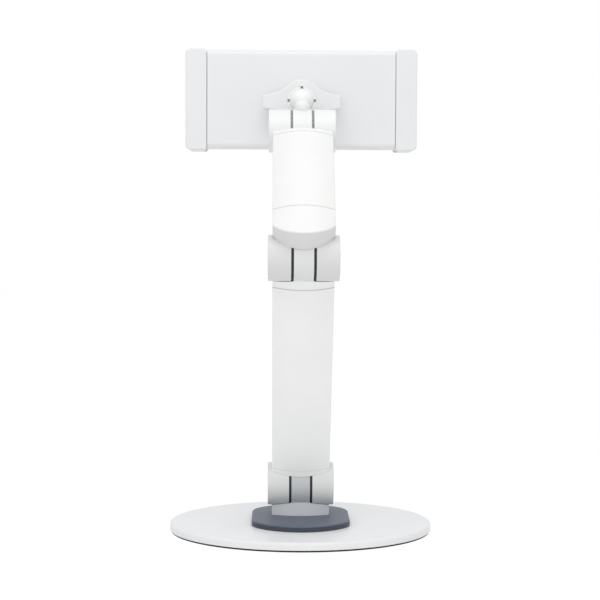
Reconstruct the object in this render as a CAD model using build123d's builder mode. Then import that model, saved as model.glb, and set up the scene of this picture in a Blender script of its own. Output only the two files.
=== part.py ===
from build123d import *
from math import acos, asin, cos, pi, radians, sin, sqrt, tan
import os

# A long-arm desk mount for a tablet: weighted oval base, two flat arms on clamped friction
# hinges, a ball joint with a wing nut, and a sprung holder whose two jaws open together.
# Millimetres and degrees. The origin is on the table under the middle of the base, +Z is up,
# +X runs along the hinge axes, and +Y points at the user, so the holder's back faces -Y.

# Base, sole and pad
base_width = 200.0
base_depth = 156.0
base_thickness = 5.5
base_edge_radius = 1.75
sole_thickness = 1.5
sole_inset = 0.8
pad_radius = 43.2
pad_width = 74.6
pad_thickness = 4.5
pad_corner_radius = 12.0
pad_edge_radius = 1.0
foot_boss_inset = 4.0
foot_boss_clearance = 0.2
foot_screw_radius = 3.0
foot_screw_head_radius = 5.6
foot_screw_spacing = 24.0
foot_screw_roof = 3.0

# Arms: one section for both, with straight sides and bowed faces
arm_width = 44.0
arm_thickness = 20.0
arm_crown = 5.0
arm_corner_radius = 1.2
arm_wall = 2.4
lower_arm_length = 196.5
lower_arm_lean = 26.5
upper_arm_length = 123.0
upper_arm_rise = 50.0
upper_arm_underside = 11.7
seam_chamfer = 0.3

# Hinges: one barrel, bolt and washer size for all three
barrel_radius = 16.25
barrel_width = 50.4
barrel_gap = 0.35
barrel_edge_radius = 0.7
tongue_width = 14.0
tongue_root_radius = 1.2
washer_thickness = 1.9
washer_radius = 11.0
bolt_radius = 4.0
bolt_head_radius = 6.5
bolt_head_height = 5.0
bolt_key_width = 5.0
bolt_key_depth = 2.6
cheek_wall = 5.6
pocket_radius = 8.6
disc_spring_radius = 8.0
disc_spring_thickness = 0.9
disc_spring_cone = 0.35
nut_width = 13.0
nut_height = 5.5
cover_radius = 12.2
cover_thickness = 2.0
cover_chamfer = 0.3
base_pivot_height = 35.0
base_pivot_offset = 5.0

# Arm ends
fork_shoulder = 18.3
tongue_shoulder = 20.6
nose_reach = 3.0
nose_sagitta = 11.7
nose_lean = 8.0
nose_length = 22.0
nose_web_reach = 14.0
cap_edge_radius = 0.8
fork_setback = 27.0
fork_collar = 2.8
fork_lug_underside = 13.0
fork_lug_back_height = 25.0
fork_lug_front_height = 12.0
fork_lug_front_distance = 11.0
plug_length = 18.0
plug_clearance = 0.1
set_screw_radius = 2.0
set_screw_length = 6.0
set_screw_spacing = 20.0
set_screw_sink = 0.3
set_screw_key_width = 2.0

# Ball joint
stud_rise = 15.0
stud_length = 27.5
stud_offset = 18.3
stud_seat_distance = 12.0
boss_start = 1.0
boss_radius = 5.8
boss_seat_radius = 4.8
boss_root_radius = 1.0
stud_shank_radius = 3.0
stud_shank_length = 8.4
collar_radius = 4.8
collar_rim = 0.8
neck_radius = 3.9
neck_length = 3.4
ball_radius = 9.5
seat_front = 0.8
seat_length = 11.7
seat_radius = 11.5
seat_hole_radius = 4.0
lip_reach = 2.4
lip_clearance = 0.1
collet_front_radius = 10.9
collet_cone_radius = 12.9
collet_cone_length = 5.6
thread_radius = 14.0
thread_runout = 1.0
collet_slot_width = 2.0
collet_slot_length = 11.4
flange_radius = 20.0
flange_thickness = 2.2
flange_screw_circle = 17.0
flange_screw_radius = 1.5
flange_screw_head_radius = 2.7
flange_screw_bite = 1.8
countersink_angle = 45.0
wing_nut_radius = 16.2
wing_nut_gap = 1.0
wing_nut_edge_radius = 1.2
wing_span = 60.0
wing_depth = 9.0
wing_tip_top = 3.8
wing_tip_bottom = 6.0
wing_tip_radius = 1.5
wing_middle_top = 11.2
wing_middle_bottom = 10.5
wing_root_radius = 14.0

# Tablet holder
holder_distance = 13.5
holder_rise = 2.3
holder_width = 147.0
holder_height = 77.0
holder_depth = 13.0
holder_edge_radius = 4.2
back_wall = 2.4
side_wall = 2.2
front_cover_thickness = 2.5
front_edge_radius = 1.0
face_pad_width = 120.0
face_pad_height = 56.0
face_pad_thickness = 1.5
face_pad_corner_radius = 6.0
cover_screw_radius = 1.5
cover_screw_boss_radius = 3.2
cover_screw_head_radius = 2.8
cover_screw_edge_distance = 6.0
shell_socket_clearance = 0.2

# Jaws, racks and pinion
jaw_gap = 0.35
jaw_width = 16.65
jaw_height = 79.0
jaw_corner_radius = 4.5
jaw_inner_corner_radius = 2.5
jaw_reach = 18.2
jaw_lip = 21.5
jaw_lip_thickness = 3.0
jaw_lip_height = 73.0
jaw_lip_corner_radius = 4.0
jaw_edge_radius = 1.0
jaw_front_radius = 9.0
jaw_screw_spacing = 10.0
jaw_screw_bite = 1.9
jaw_pad_thickness = 3.0
jaw_pad_rib = 0.6
jaw_pad_ribs = 9
jaw_travel = 38.0
gear_module = 1.0
pinion_teeth = 12
pressure_angle = 20.0
rack_addendum = 0.6
tooth_backlash = 0.2
tooth_root_clearance = 0.3
rack_thickness = 4.0
rack_height = 20.0
rack_inner_reach = 44.0
rack_in_jaw = 11.5
rack_step_teeth = 3
slide_clearance = 0.15
rack_front_clearance = 0.6
rack_screw_radius = 1.25
axle_radius = 1.5
axle_shoulder_radius = 3.0
axle_end_depth = 4.0
spring_radius = 1.65
spring_wire_radius = 0.35
spring_turns = 13
spring_post_radius = 1.5
spring_post_distance = 66.0
guide_thickness = 2.0

# Fits
running_clearance = 0.05
touch_gap = 0.05

# Places worked out from the sizes above
base_top = sole_thickness + base_thickness
pad_top = base_top + pad_thickness
lean = radians(lower_arm_lean)
rise = radians(upper_arm_rise)
stud_angle = radians(stud_rise)
lower_direction = Vector(0, -sin(lean), cos(lean))
upper_direction = Vector(0, cos(rise), sin(rise))
upper_normal = Vector(0, -sin(rise), cos(rise))
stud_direction = Vector(0, cos(stud_angle), sin(stud_angle))
stud_normal = Vector(0, -sin(stud_angle), cos(stud_angle))
base_pivot = Vector(0, base_pivot_offset, base_pivot_height)
elbow_pivot = base_pivot + lower_direction * lower_arm_length
wrist_pivot = elbow_pivot + upper_direction * upper_arm_length
ball_centre = wrist_pivot + stud_direction * stud_length + stud_normal * stud_offset
upper_axis_height = upper_arm_underside + arm_thickness / 2
lower_plane = Plane(origin=base_pivot, x_dir=(1, 0, 0), z_dir=lower_direction)
upper_plane = Plane(
    origin=elbow_pivot + upper_normal * upper_axis_height, x_dir=(1, 0, 0), z_dir=upper_direction
)
stud_origin = wrist_pivot + stud_normal * stud_offset
stud_plane = Plane(origin=stud_origin, x_dir=(1, 0, 0), z_dir=stud_direction)
barrel_half = barrel_width / 2
tongue_half = tongue_width / 2
cheek_inner = tongue_half + washer_thickness
bolt_seat = cheek_inner + cheek_wall
saddle_radius = barrel_radius + barrel_gap
holder_back_y = ball_centre.Y + holder_distance
holder_front_y = holder_back_y + holder_depth
cover_back_y = holder_front_y - front_cover_thickness
holder_z = ball_centre.Z + holder_rise
rack_front_y = cover_back_y - rack_front_clearance
rack_back_y = rack_front_y - rack_thickness
pitch_radius = gear_module * pinion_teeth / 2
tooth_pitch = pi * gear_module
rack_low = pitch_radius + rack_addendum + 2 * gear_module
rack_top = rack_low + rack_height
rack_middle = (rack_low + rack_top) / 2
jaw_inner = holder_width / 2 + jaw_gap
jaw_outer = jaw_inner + jaw_width
jaw_front_y = holder_front_y + jaw_reach

os.makedirs("parts", exist_ok=True)


# Shared shapes


def arm_face(inset=0.0):
    """The arms' section: straight sides, faces bowed out by the crown, rounded corners."""
    half_width = arm_width / 2 - inset
    half_thickness = arm_thickness / 2 - inset
    side = half_thickness - arm_crown
    with BuildSketch() as section:
        with BuildLine():
            ThreePointArc((-half_width, side), (0, half_thickness), (half_width, side))
            Line((half_width, side), (half_width, -side))
            ThreePointArc((half_width, -side), (0, -half_thickness), (-half_width, -side))
            Line((-half_width, -side), (-half_width, side))
        make_face()
        if inset == 0:
            fillet(section.vertices(), arm_corner_radius)
    return section.sketch


def crown_drop(x):
    """How far the bowed face lies below its crest at x from the middle."""
    crown_radius = (arm_width**2 / 4 + arm_crown**2) / (2 * arm_crown)
    return crown_radius - sqrt(crown_radius**2 - x**2)


def across(point, x=0.0):
    """A plane square to the hinge axes, x along +Y and y along +Z, at x from the middle."""
    return Plane(origin=point + Vector(x, 0, 0), x_dir=(0, 1, 0), z_dir=(1, 0, 0))


def beside(point, direction):
    """A plane square to the hinge axes with x along an arm and y towards the holder's back."""
    return Plane(origin=point, x_dir=direction, z_dir=(1, 0, 0))


def facing(y, z=holder_z):
    """A plane seen from the holder's back, x along +X and y along +Z; extrusions run to -Y."""
    return Plane(origin=(0, y, z), x_dir=(1, 0, 0), z_dir=(0, -1, 0))


def barrel(pivot, radius, inner, outer):
    """Cylinders about a hinge axis from inner to outer on both sides of the middle."""
    with BuildPart() as piece:
        for side in (-1, 1):
            with BuildSketch(across(pivot, side * inner)):
                Circle(radius)
            extrude(amount=side * (outer - inner))
    return piece.part


def saddle(pivot):
    """The room of a fork's cheeks beside a tongue, rounded where the tongue's sides flare out."""
    with BuildPart() as piece:
        add(barrel(pivot, saddle_radius, tongue_half, arm_width))
        rims = piece.edges().filter_by(GeomType.CIRCLE).group_by(Axis.X)
        fillet(rims[1] + rims[2], tongue_root_radius)
    return piece.part


def outer_rims(piece):
    """The barrel's outer rims: the widest circles at both ends along the hinge axis."""
    ends = piece.edges().filter_by(GeomType.CIRCLE).group_by(Axis.X)
    return ends[0].sort_by(SortBy.RADIUS)[-1:] + ends[-1].sort_by(SortBy.RADIUS)[-1:]


def bolt_voids(pivot):
    """The bolt's hole, the two pockets and the cover recesses of a forked end."""
    with BuildPart() as piece:
        add(barrel(pivot, bolt_radius + running_clearance, 0, barrel_half))
        add(barrel(pivot, pocket_radius, bolt_seat, barrel_half))
        add(barrel(pivot, cover_radius + plug_clearance, barrel_half - cover_thickness, barrel_half))
    return piece.part


def set_screws(plane, distance, grow=0.0, sink=set_screw_sink):
    """Two set screws into an arm's plug from its far face, or their holes where grow is set."""
    x = set_screw_spacing / 2
    face = arm_thickness / 2 - crown_drop(x) - sink
    top = Plane(
        origin=plane.origin + plane.z_dir * distance + plane.y_dir * face,
        x_dir=(1, 0, 0),
        z_dir=-plane.y_dir,
    )
    with BuildPart() as piece:
        with BuildSketch(top):
            with Locations((-x, 0), (x, 0)):
                Circle(set_screw_radius + grow)
        extrude(amount=set_screw_length + set_screw_sink - sink + grow)
        if grow == 0:
            with BuildSketch(top):
                with Locations((-x, 0), (x, 0)):
                    RegularPolygon(set_screw_key_width / 2, 6, major_radius=False)
            extrude(amount=set_screw_length / 2, mode=Mode.SUBTRACT)
    return piece.part


def set_screw_holes(plane, distance):
    """The holes that the set screws sit in, open to the arm's far face."""
    return set_screws(plane, distance, grow=plug_clearance, sink=-arm_crown)


def plug(plane, start, length):
    """The spigot of an arm's end cap inside the tube, from start along the arm."""
    with BuildPart() as piece:
        with BuildSketch(plane.offset(start)):
            add(arm_face(arm_wall + plug_clearance))
        extrude(amount=length)
    return piece.part


def arm_tube(plane, start, end):
    """A hollow arm from start to end along its plane's normal, with chamfered ends."""
    with BuildPart() as tube:
        with BuildSketch(plane.offset(start)):
            add(arm_face())
        extrude(amount=end - start)
        ends = tube.faces().filter_by(Plane(plane.origin, z_dir=plane.z_dir))
        chamfer(ends.edges(), seam_chamfer)
        with BuildSketch(plane.offset(start)):
            add(arm_face(arm_wall))
        extrude(amount=end - start, mode=Mode.SUBTRACT)
        for distance in (start + plug_length / 2, end - plug_length / 2):
            add(set_screw_holes(plane, distance), mode=Mode.SUBTRACT)
    return tube


def hinge_hardware(name, pivot):
    """Bolt, nut, disc springs, friction washers and end covers of one hinge, on its fork."""
    with BuildPart() as bolt:
        nut_seat = -bolt_seat - 2 * (disc_spring_thickness + disc_spring_cone) - touch_gap
        with BuildSketch(across(pivot, bolt_seat)):
            Circle(bolt_head_radius)
        extrude(amount=bolt_head_height)
        chamfer(bolt.edges().group_by(Axis.X)[-1], cover_chamfer)
        with BuildSketch(across(pivot, bolt_seat)):
            Circle(bolt_radius)
        extrude(amount=nut_seat - nut_height - bolt_seat)
        with BuildSketch(across(pivot, bolt_seat + bolt_head_height)):
            RegularPolygon(bolt_key_width / 2, 6, major_radius=False)
        extrude(amount=-bolt_key_depth, mode=Mode.SUBTRACT)
    bolt.part.label = f"{name}_bolt"
    export_step(bolt.part, f"parts/{name}_bolt.step")

    with BuildPart() as nut:
        with BuildSketch(across(pivot, nut_seat)):
            RegularPolygon(nut_width / 2, 6, major_radius=False)
            Circle(bolt_radius + running_clearance, mode=Mode.SUBTRACT)
        extrude(amount=-nut_height)
    nut.part.label = f"{name}_nut"
    export_step(nut.part, f"parts/{name}_nut.step")

    with BuildPart() as disc_springs:
        spring_bore = bolt_radius + running_clearance
        rim = disc_spring_cone + disc_spring_thickness
        for start, turn in ((-bolt_seat, -1), (nut_seat, 1)):
            cone_plane = Plane(
                origin=pivot + Vector(start, 0, 0), x_dir=(turn, 0, 0), z_dir=(0, -turn, 0)
            )
            with BuildSketch(cone_plane):
                with BuildLine():
                    Polyline(
                        (0, spring_bore),
                        (disc_spring_cone, disc_spring_radius),
                        (rim, disc_spring_radius),
                        (disc_spring_thickness, spring_bore),
                        close=True,
                    )
                make_face()
            revolve(axis=Axis(pivot, (1, 0, 0)))
    disc_springs.part.label = f"{name}_disc_springs"
    export_step(disc_springs.part, f"parts/{name}_disc_springs.step")

    with BuildPart() as washers:
        for side in (-1, 1):
            with BuildSketch(across(pivot, side * tongue_half)):
                Circle(washer_radius)
                Circle(bolt_radius + running_clearance, mode=Mode.SUBTRACT)
            extrude(amount=side * washer_thickness)
    washers.part.label = f"{name}_friction_washers"
    export_step(washers.part, f"parts/{name}_friction_washers.step")

    with BuildPart() as covers:
        for side in (-1, 1):
            with BuildSketch(across(pivot, side * (barrel_half - cover_thickness))):
                Circle(cover_radius)
            extrude(amount=side * cover_thickness)
        outer_rims = covers.edges().group_by(Axis.X)
        chamfer(outer_rims[0] + outer_rims[-1], cover_chamfer)
    covers.part.label = f"{name}_covers"
    export_step(covers.part, f"parts/{name}_covers.step")


# Base


def foot_screw_shape(grow):
    """Two countersunk screws from under the base, or their voids where grow is set."""
    head = foot_screw_head_radius - foot_screw_radius
    x = foot_screw_spacing / 2
    with BuildPart() as piece:
        with Locations((-x, base_pivot_offset), (x, base_pivot_offset)):
            Cylinder(
                foot_screw_radius + grow,
                pad_top + foot_screw_roof - sole_thickness,
                align=(Align.CENTER, Align.CENTER, Align.MIN),
            )
            Cone(
                foot_screw_head_radius + grow,
                foot_screw_radius + grow,
                head,
                align=(Align.CENTER, Align.CENTER, Align.MIN),
            )
    return piece.part.moved(Location((0, 0, sole_thickness)))


with BuildPart() as base_plate:
    with BuildSketch(Plane.XY.offset(sole_thickness)):
        Ellipse(base_width / 2, base_depth / 2)
    extrude(amount=base_thickness)
    fillet(base_plate.edges().group_by(Axis.Z)[-1], base_edge_radius)
    add(foot_screw_shape(foot_boss_clearance), mode=Mode.SUBTRACT)
base_plate.part.label = "base_plate"
export_step(base_plate.part, "parts/base_plate.step")

with BuildPart() as rubber_sole:
    with BuildSketch():
        Ellipse(base_width / 2 - sole_inset, base_depth / 2 - sole_inset)
    extrude(amount=sole_thickness)
rubber_sole.part.label = "rubber_sole"
export_step(rubber_sole.part, "parts/rubber_sole.step")

with BuildPart() as base_pad:
    with BuildSketch(Plane.XY.offset(base_top)) as pad_outline:
        Circle(pad_radius)
        Rectangle(pad_width, 2 * pad_radius, mode=Mode.INTERSECT)
        fillet(pad_outline.vertices(), pad_corner_radius)
    extrude(amount=pad_thickness)
    fillet(base_pad.edges().group_by(Axis.Z)[-1], pad_edge_radius)
    with BuildSketch(Plane((0, base_pivot_offset, base_top), x_dir=(1, 0, 0), z_dir=(0, 0, 1))):
        add(arm_face(foot_boss_inset - foot_boss_clearance))
    extrude(amount=pad_thickness, mode=Mode.SUBTRACT)
base_pad.part.label = "base_pad"
export_step(base_pad.part, "parts/base_pad.step")

with BuildPart() as foot_block:
    with BuildSketch(Plane((0, base_pivot_offset, pad_top), x_dir=(1, 0, 0), z_dir=(0, 0, 1))):
        add(arm_face())
    extrude(amount=base_pivot_height - pad_top)
    add(saddle(base_pivot), mode=Mode.SUBTRACT)
    add(barrel(base_pivot, barrel_radius, 0, tongue_half))
    with BuildSketch(Plane((0, base_pivot_offset, base_top), x_dir=(1, 0, 0), z_dir=(0, 0, 1))):
        add(arm_face(foot_boss_inset))
    extrude(amount=pad_thickness)
    add(barrel(base_pivot, bolt_radius + running_clearance, 0, tongue_half), mode=Mode.SUBTRACT)
    add(foot_screw_shape(running_clearance), mode=Mode.SUBTRACT)
foot_block.part.label = "foot_block"
export_step(foot_block.part, "parts/foot_block.step")

with BuildPart() as foot_screws:
    add(foot_screw_shape(0))
foot_screws.part.label = "foot_screws"
export_step(foot_screws.part, "parts/foot_screws.step")

# Lower arm

with BuildPart() as lower_fork_cap:
    with BuildSketch(lower_plane):
        add(arm_face())
    extrude(amount=fork_shoulder)
    chamfer(lower_fork_cap.faces().sort_by(Axis(base_pivot, lower_direction))[-1].edges(), seam_chamfer)
    add(barrel(base_pivot, barrel_radius, 0, barrel_half))
    add(plug(lower_plane, fork_shoulder, plug_length))
    add(barrel(base_pivot, saddle_radius, 0, cheek_inner), mode=Mode.SUBTRACT)
    fillet(outer_rims(lower_fork_cap), barrel_edge_radius)
    add(bolt_voids(base_pivot), mode=Mode.SUBTRACT)
    add(set_screw_holes(lower_plane, fork_shoulder + plug_length / 2), mode=Mode.SUBTRACT)
lower_fork_cap.part.label = "lower_fork_cap"
export_step(lower_fork_cap.part, "parts/lower_fork_cap.step")

lower_tube_end = lower_arm_length - tongue_shoulder
lower_arm_tube = arm_tube(lower_plane, fork_shoulder, lower_tube_end)
lower_arm_tube.part.label = "lower_arm_tube"
export_step(lower_arm_tube.part, "parts/lower_arm_tube.step")

with BuildPart() as lower_tongue_cap:
    with BuildSketch(lower_plane.offset(lower_tube_end)):
        add(arm_face())
    extrude(amount=tongue_shoulder)
    chamfer(lower_tongue_cap.faces().sort_by(Axis(base_pivot, lower_direction))[0].edges(), seam_chamfer)
    add(saddle(elbow_pivot), mode=Mode.SUBTRACT)
    add(barrel(elbow_pivot, barrel_radius, 0, tongue_half))
    add(plug(lower_plane, lower_tube_end, -plug_length))
    add(barrel(elbow_pivot, bolt_radius + running_clearance, 0, tongue_half), mode=Mode.SUBTRACT)
    add(set_screw_holes(lower_plane, lower_tube_end - plug_length / 2), mode=Mode.SUBTRACT)
lower_tongue_cap.part.label = "lower_tongue_cap"
export_step(lower_tongue_cap.part, "parts/lower_tongue_cap.step")

with BuildPart() as lower_set_screws:
    add(set_screws(lower_plane, fork_shoulder + plug_length / 2))
    add(set_screws(lower_plane, lower_tube_end - plug_length / 2))
lower_set_screws.part.label = "lower_set_screws"
export_step(lower_set_screws.part, "parts/lower_set_screws.step")

hinge_hardware("base_hinge", base_pivot)

# Upper arm

upper_tube_end = upper_arm_length - fork_setback - fork_collar

nose_overhang = arm_thickness * tan(radians(nose_lean))

with BuildPart() as upper_nose_cap:
    with BuildSketch(upper_plane.offset(-nose_reach - nose_overhang)):
        add(arm_face())
    extrude(amount=nose_length + nose_reach + nose_overhang)
    chamfer(upper_nose_cap.faces().sort_by(Axis(elbow_pivot, upper_direction))[-1].edges(), seam_chamfer)
    plan = Plane(origin=upper_plane.origin, x_dir=(1, 0, 0), z_dir=upper_normal)
    with BuildSketch(plan):
        with BuildLine():
            side = arm_width / 2
            nose_tip = -nose_reach - nose_overhang / 2
            nose_corner = nose_tip + nose_sagitta
            ThreePointArc((-side, nose_corner), (0, nose_tip), (side, nose_corner))
            Polyline(
                (side, nose_corner),
                (side, 2 * nose_length),
                (-side, 2 * nose_length),
                (-side, nose_corner),
            )
        make_face()
    wall_direction = upper_normal + upper_direction * tan(radians(nose_lean))
    extrude(amount=arm_thickness, dir=wall_direction, both=True, mode=Mode.INTERSECT)
    end_wall = upper_nose_cap.faces().sort_by(Axis(elbow_pivot, upper_direction))[0]
    wall_rims = end_wall.edges().group_by(Axis(elbow_pivot, upper_normal))
    fillet(wall_rims[-2] + wall_rims[-1], cap_edge_radius)
    with BuildSketch(beside(elbow_pivot, upper_direction)):
        with BuildLine():
            Polyline(
                (nose_corner, 0),
                (nose_web_reach, 0),
                (nose_web_reach, upper_axis_height),
                (nose_corner, upper_axis_height),
                close=True,
            )
        make_face()
    extrude(amount=arm_width / 2, both=True)
    add(barrel(elbow_pivot, barrel_radius, 0, barrel_half))
    add(plug(upper_plane, nose_length, plug_length))
    add(barrel(elbow_pivot, saddle_radius, 0, cheek_inner), mode=Mode.SUBTRACT)
    fillet(outer_rims(upper_nose_cap), barrel_edge_radius)
    add(bolt_voids(elbow_pivot), mode=Mode.SUBTRACT)
    add(set_screw_holes(upper_plane, nose_length + plug_length / 2), mode=Mode.SUBTRACT)
upper_nose_cap.part.label = "upper_nose_cap"
export_step(upper_nose_cap.part, "parts/upper_nose_cap.step")

upper_arm_tube = arm_tube(upper_plane, nose_length, upper_tube_end)
upper_arm_tube.part.label = "upper_arm_tube"
export_step(upper_arm_tube.part, "parts/upper_arm_tube.step")

with BuildPart() as upper_fork_cap:
    with BuildSketch(upper_plane.offset(upper_tube_end)):
        add(arm_face())
    extrude(amount=fork_collar)
    with BuildSketch(beside(wrist_pivot, upper_direction)):
        with BuildLine():
            collar_start = -fork_setback - fork_collar
            lug_reach = sqrt(collar_start**2 + fork_lug_underside**2)
            lug_angle = pi - asin(fork_lug_underside / lug_reach) + acos(barrel_radius / lug_reach)
            lug_tangent = (barrel_radius * cos(lug_angle), barrel_radius * sin(lug_angle))
            Polyline(
                (collar_start, fork_lug_underside),
                lug_tangent,
                (0, 0),
                (-fork_lug_front_distance, fork_lug_front_height),
                (-fork_setback, fork_lug_back_height),
                (collar_start, fork_lug_back_height),
                close=True,
            )
        make_face()
    extrude(amount=arm_width / 2, both=True)
    add(barrel(wrist_pivot, barrel_radius, 0, barrel_half))
    add(plug(upper_plane, upper_tube_end, -plug_length))
    add(barrel(wrist_pivot, saddle_radius, 0, cheek_inner), mode=Mode.SUBTRACT)
    fillet(outer_rims(upper_fork_cap), barrel_edge_radius)
    add(bolt_voids(wrist_pivot), mode=Mode.SUBTRACT)
    add(set_screw_holes(upper_plane, upper_tube_end - plug_length / 2), mode=Mode.SUBTRACT)
upper_fork_cap.part.label = "upper_fork_cap"
export_step(upper_fork_cap.part, "parts/upper_fork_cap.step")

with BuildPart() as upper_set_screws:
    add(set_screws(upper_plane, nose_length + plug_length / 2))
    add(set_screws(upper_plane, upper_tube_end - plug_length / 2))
upper_set_screws.part.label = "upper_set_screws"
export_step(upper_set_screws.part, "parts/upper_set_screws.step")

hinge_hardware("elbow", elbow_pivot)
hinge_hardware("wrist", wrist_pivot)

# Ball joint


def turned(points_and_arcs):
    """A solid turned about the socket's axis; each entry is a line's or an arc's points,
    given as distance behind the ball's centre and radius."""
    with BuildPart() as piece:
        with BuildSketch(across(ball_centre)):
            with BuildLine():
                for points in points_and_arcs:
                    if len(points) == 3:
                        ThreePointArc(*points)
                    else:
                        Line(*points)
            make_face()
        revolve(axis=Axis(ball_centre, (0, 1, 0)))
    return piece.part


def sphere_arc(radius, start, end):
    """Three points of an arc about the ball's centre, from start to end behind the centre."""
    middle = (start + end) / 2
    return [(b, sqrt(radius**2 - b**2)) for b in (start, middle, end)]


def outline(*points):
    """The straight sides that join the points in order."""
    return [(points[i], points[i + 1]) for i in range(len(points) - 1)]


def boss_seam(piece):
    """The edges where the boss runs out of the tongue's rim."""
    return piece.edges().filter_by(lambda e: e.geom_type not in (GeomType.CIRCLE, GeomType.LINE))


with BuildPart() as wrist_knuckle:
    add(barrel(wrist_pivot, barrel_radius, 0, tongue_half))
    with BuildSketch(beside(stud_origin, stud_direction)):
        with BuildLine():
            Polyline(
                (boss_start - boss_radius, 0),
                (stud_seat_distance, 0),
                (stud_seat_distance, boss_seat_radius),
                (boss_start, boss_radius),
            )
            TangentArc(
                (boss_start, boss_radius), (boss_start - boss_radius, 0), tangent=(-1, 0)
            )
        make_face()
    revolve(axis=Axis(stud_origin, stud_direction))
    fillet(boss_seam(wrist_knuckle), boss_root_radius)
    with BuildSketch(stud_plane.offset(stud_seat_distance)):
        Circle(stud_shank_radius + running_clearance)
    extrude(amount=-stud_shank_length - touch_gap, mode=Mode.SUBTRACT)
    add(barrel(wrist_pivot, bolt_radius + running_clearance, 0, tongue_half), mode=Mode.SUBTRACT)
wrist_knuckle.part.label = "wrist_knuckle"
export_step(wrist_knuckle.part, "parts/wrist_knuckle.step")

with BuildPart() as ball_stud:
    seat = stud_seat_distance - stud_length
    neck_end = -sqrt(ball_radius**2 - neck_radius**2)
    neck_start = neck_end - neck_length
    with BuildSketch(beside(ball_centre, stud_direction)):
        with BuildLine():
            Polyline(
                (ball_radius, 0),
                (seat - stud_shank_length, 0),
                (seat - stud_shank_length, stud_shank_radius),
                (seat, stud_shank_radius),
                (seat, collar_radius),
                (seat + collar_rim, collar_radius),
            )
            TangentArc(
                (neck_start, neck_radius), (seat + collar_rim, collar_radius), tangent=(-1, 0)
            )
            Line((neck_start, neck_radius), (neck_end, neck_radius))
            ThreePointArc((neck_end, neck_radius), (0, ball_radius), (ball_radius, 0))
        make_face()
    revolve(axis=Axis(ball_centre, stud_direction))
ball_stud.part.label = "ball_stud"
export_step(ball_stud.part, "parts/ball_stud.step")

seat_sphere = ball_radius + running_clearance
seat_end = seat_front + seat_length
seat_mouth = (seat_front, sqrt(seat_sphere**2 - seat_front**2))
seat_bottom = (sqrt(seat_sphere**2 - seat_hole_radius**2), seat_hole_radius)
with BuildPart() as ball_seat:
    add(
        turned(
            outline(
                seat_mouth,
                (seat_front, seat_radius),
                (seat_end, seat_radius),
                (seat_end, seat_hole_radius),
                seat_bottom,
            )
            + [sphere_arc(seat_sphere, seat_bottom[0], seat_front)]
        )
    )
ball_seat.part.label = "ball_seat"
export_step(ball_seat.part, "parts/ball_seat.step")

flange_back = holder_distance + back_wall
flange_front = flange_back + flange_thickness
socket_bore = seat_radius + running_clearance
lip_sphere = ball_radius + lip_clearance
cone_end = collet_cone_length - lip_reach
with BuildPart() as ball_socket:
    add(
        turned(
            outline(
                (-lip_reach, sqrt(lip_sphere**2 - lip_reach**2)),
                (-lip_reach, collet_front_radius),
                (cone_end, collet_cone_radius),
                (cone_end + thread_runout, thread_radius),
                (flange_back, thread_radius),
                (flange_back, flange_radius),
                (flange_front, flange_radius),
                (flange_front, socket_bore),
                (seat_front, socket_bore),
                (seat_front, sqrt(lip_sphere**2 - seat_front**2)),
            )
            + [sphere_arc(lip_sphere, seat_front, -lip_reach)]
        )
    )
    with BuildSketch(facing(ball_centre.Y - lip_reach, ball_centre.Z)):
        for angle in (0, 90):
            Rectangle(4 * seat_radius, collet_slot_width, rotation=angle)
    extrude(amount=-collet_slot_length, mode=Mode.SUBTRACT)
    with BuildSketch(facing(ball_centre.Y + flange_front, ball_centre.Z)):
        with PolarLocations(flange_screw_circle, 4, start_angle=45):
            Circle(flange_screw_head_radius)
    extrude(
        amount=flange_screw_head_radius - flange_screw_radius,
        taper=countersink_angle,
        mode=Mode.SUBTRACT,
    )
    with BuildSketch(facing(ball_centre.Y + flange_front, ball_centre.Z)):
        with PolarLocations(flange_screw_circle, 4, start_angle=45):
            Circle(flange_screw_radius + running_clearance)
    extrude(amount=flange_thickness, mode=Mode.SUBTRACT)
ball_socket.part.label = "ball_socket"
export_step(ball_socket.part, "parts/ball_socket.step")

with BuildPart() as seat_plug:
    add(
        turned(
            outline(
                (seat_end, 0),
                (seat_end, seat_radius),
                (flange_front, seat_radius),
                (flange_front, 0),
                (seat_end, 0),
            )
        )
    )
    with BuildSketch(facing(ball_centre.Y + flange_front)):
        Circle(axle_radius)
    extrude(amount=axle_end_depth, mode=Mode.SUBTRACT)
seat_plug.part.label = "seat_plug"
export_step(seat_plug.part, "parts/seat_plug.step")

nut_back = holder_distance - wing_nut_gap
nut_clearance = 2 * running_clearance
with BuildPart() as wing_nut:
    add(
        turned(
            outline(
                (-lip_reach, 0),
                (-lip_reach, wing_nut_radius),
                (nut_back, wing_nut_radius),
                (nut_back, 0),
                (-lip_reach, 0),
            )
        )
    )
    with BuildSketch(facing(ball_centre.Y - lip_reach, ball_centre.Z)) as wings:
        for side in (-1, 1):
            with BuildLine():
                Polyline(
                    (0, wing_middle_top),
                    (side * wing_span / 2, wing_tip_top),
                    (side * wing_span / 2, -wing_tip_bottom),
                    (0, -wing_middle_bottom),
                    close=True,
                )
            make_face()
        fillet(wings.vertices().group_by(Axis.X)[0] + wings.vertices().group_by(Axis.X)[-1], wing_tip_radius)
        Circle(wing_nut_radius)
        roots = wings.vertices().filter_by(lambda v: abs(sqrt(v.X**2 + v.Y**2) - wing_nut_radius) < 0.01)
        fillet(roots, wing_root_radius)
    extrude(amount=-wing_depth)
    fillet(wing_nut.faces().sort_by(Axis.Y)[0].outer_wire().edges(), wing_nut_edge_radius)
    add(
        turned(
            outline(
                (-lip_reach, 0),
                (-lip_reach, collet_front_radius + nut_clearance),
                (cone_end, collet_cone_radius + nut_clearance),
                (cone_end + thread_runout, thread_radius + running_clearance),
                (nut_back, thread_radius + running_clearance),
                (nut_back, 0),
                (-lip_reach, 0),
            )
        ),
        mode=Mode.SUBTRACT,
    )
wing_nut.part.label = "wing_nut"
export_step(wing_nut.part, "parts/wing_nut.step")

# Tablet holder


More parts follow.
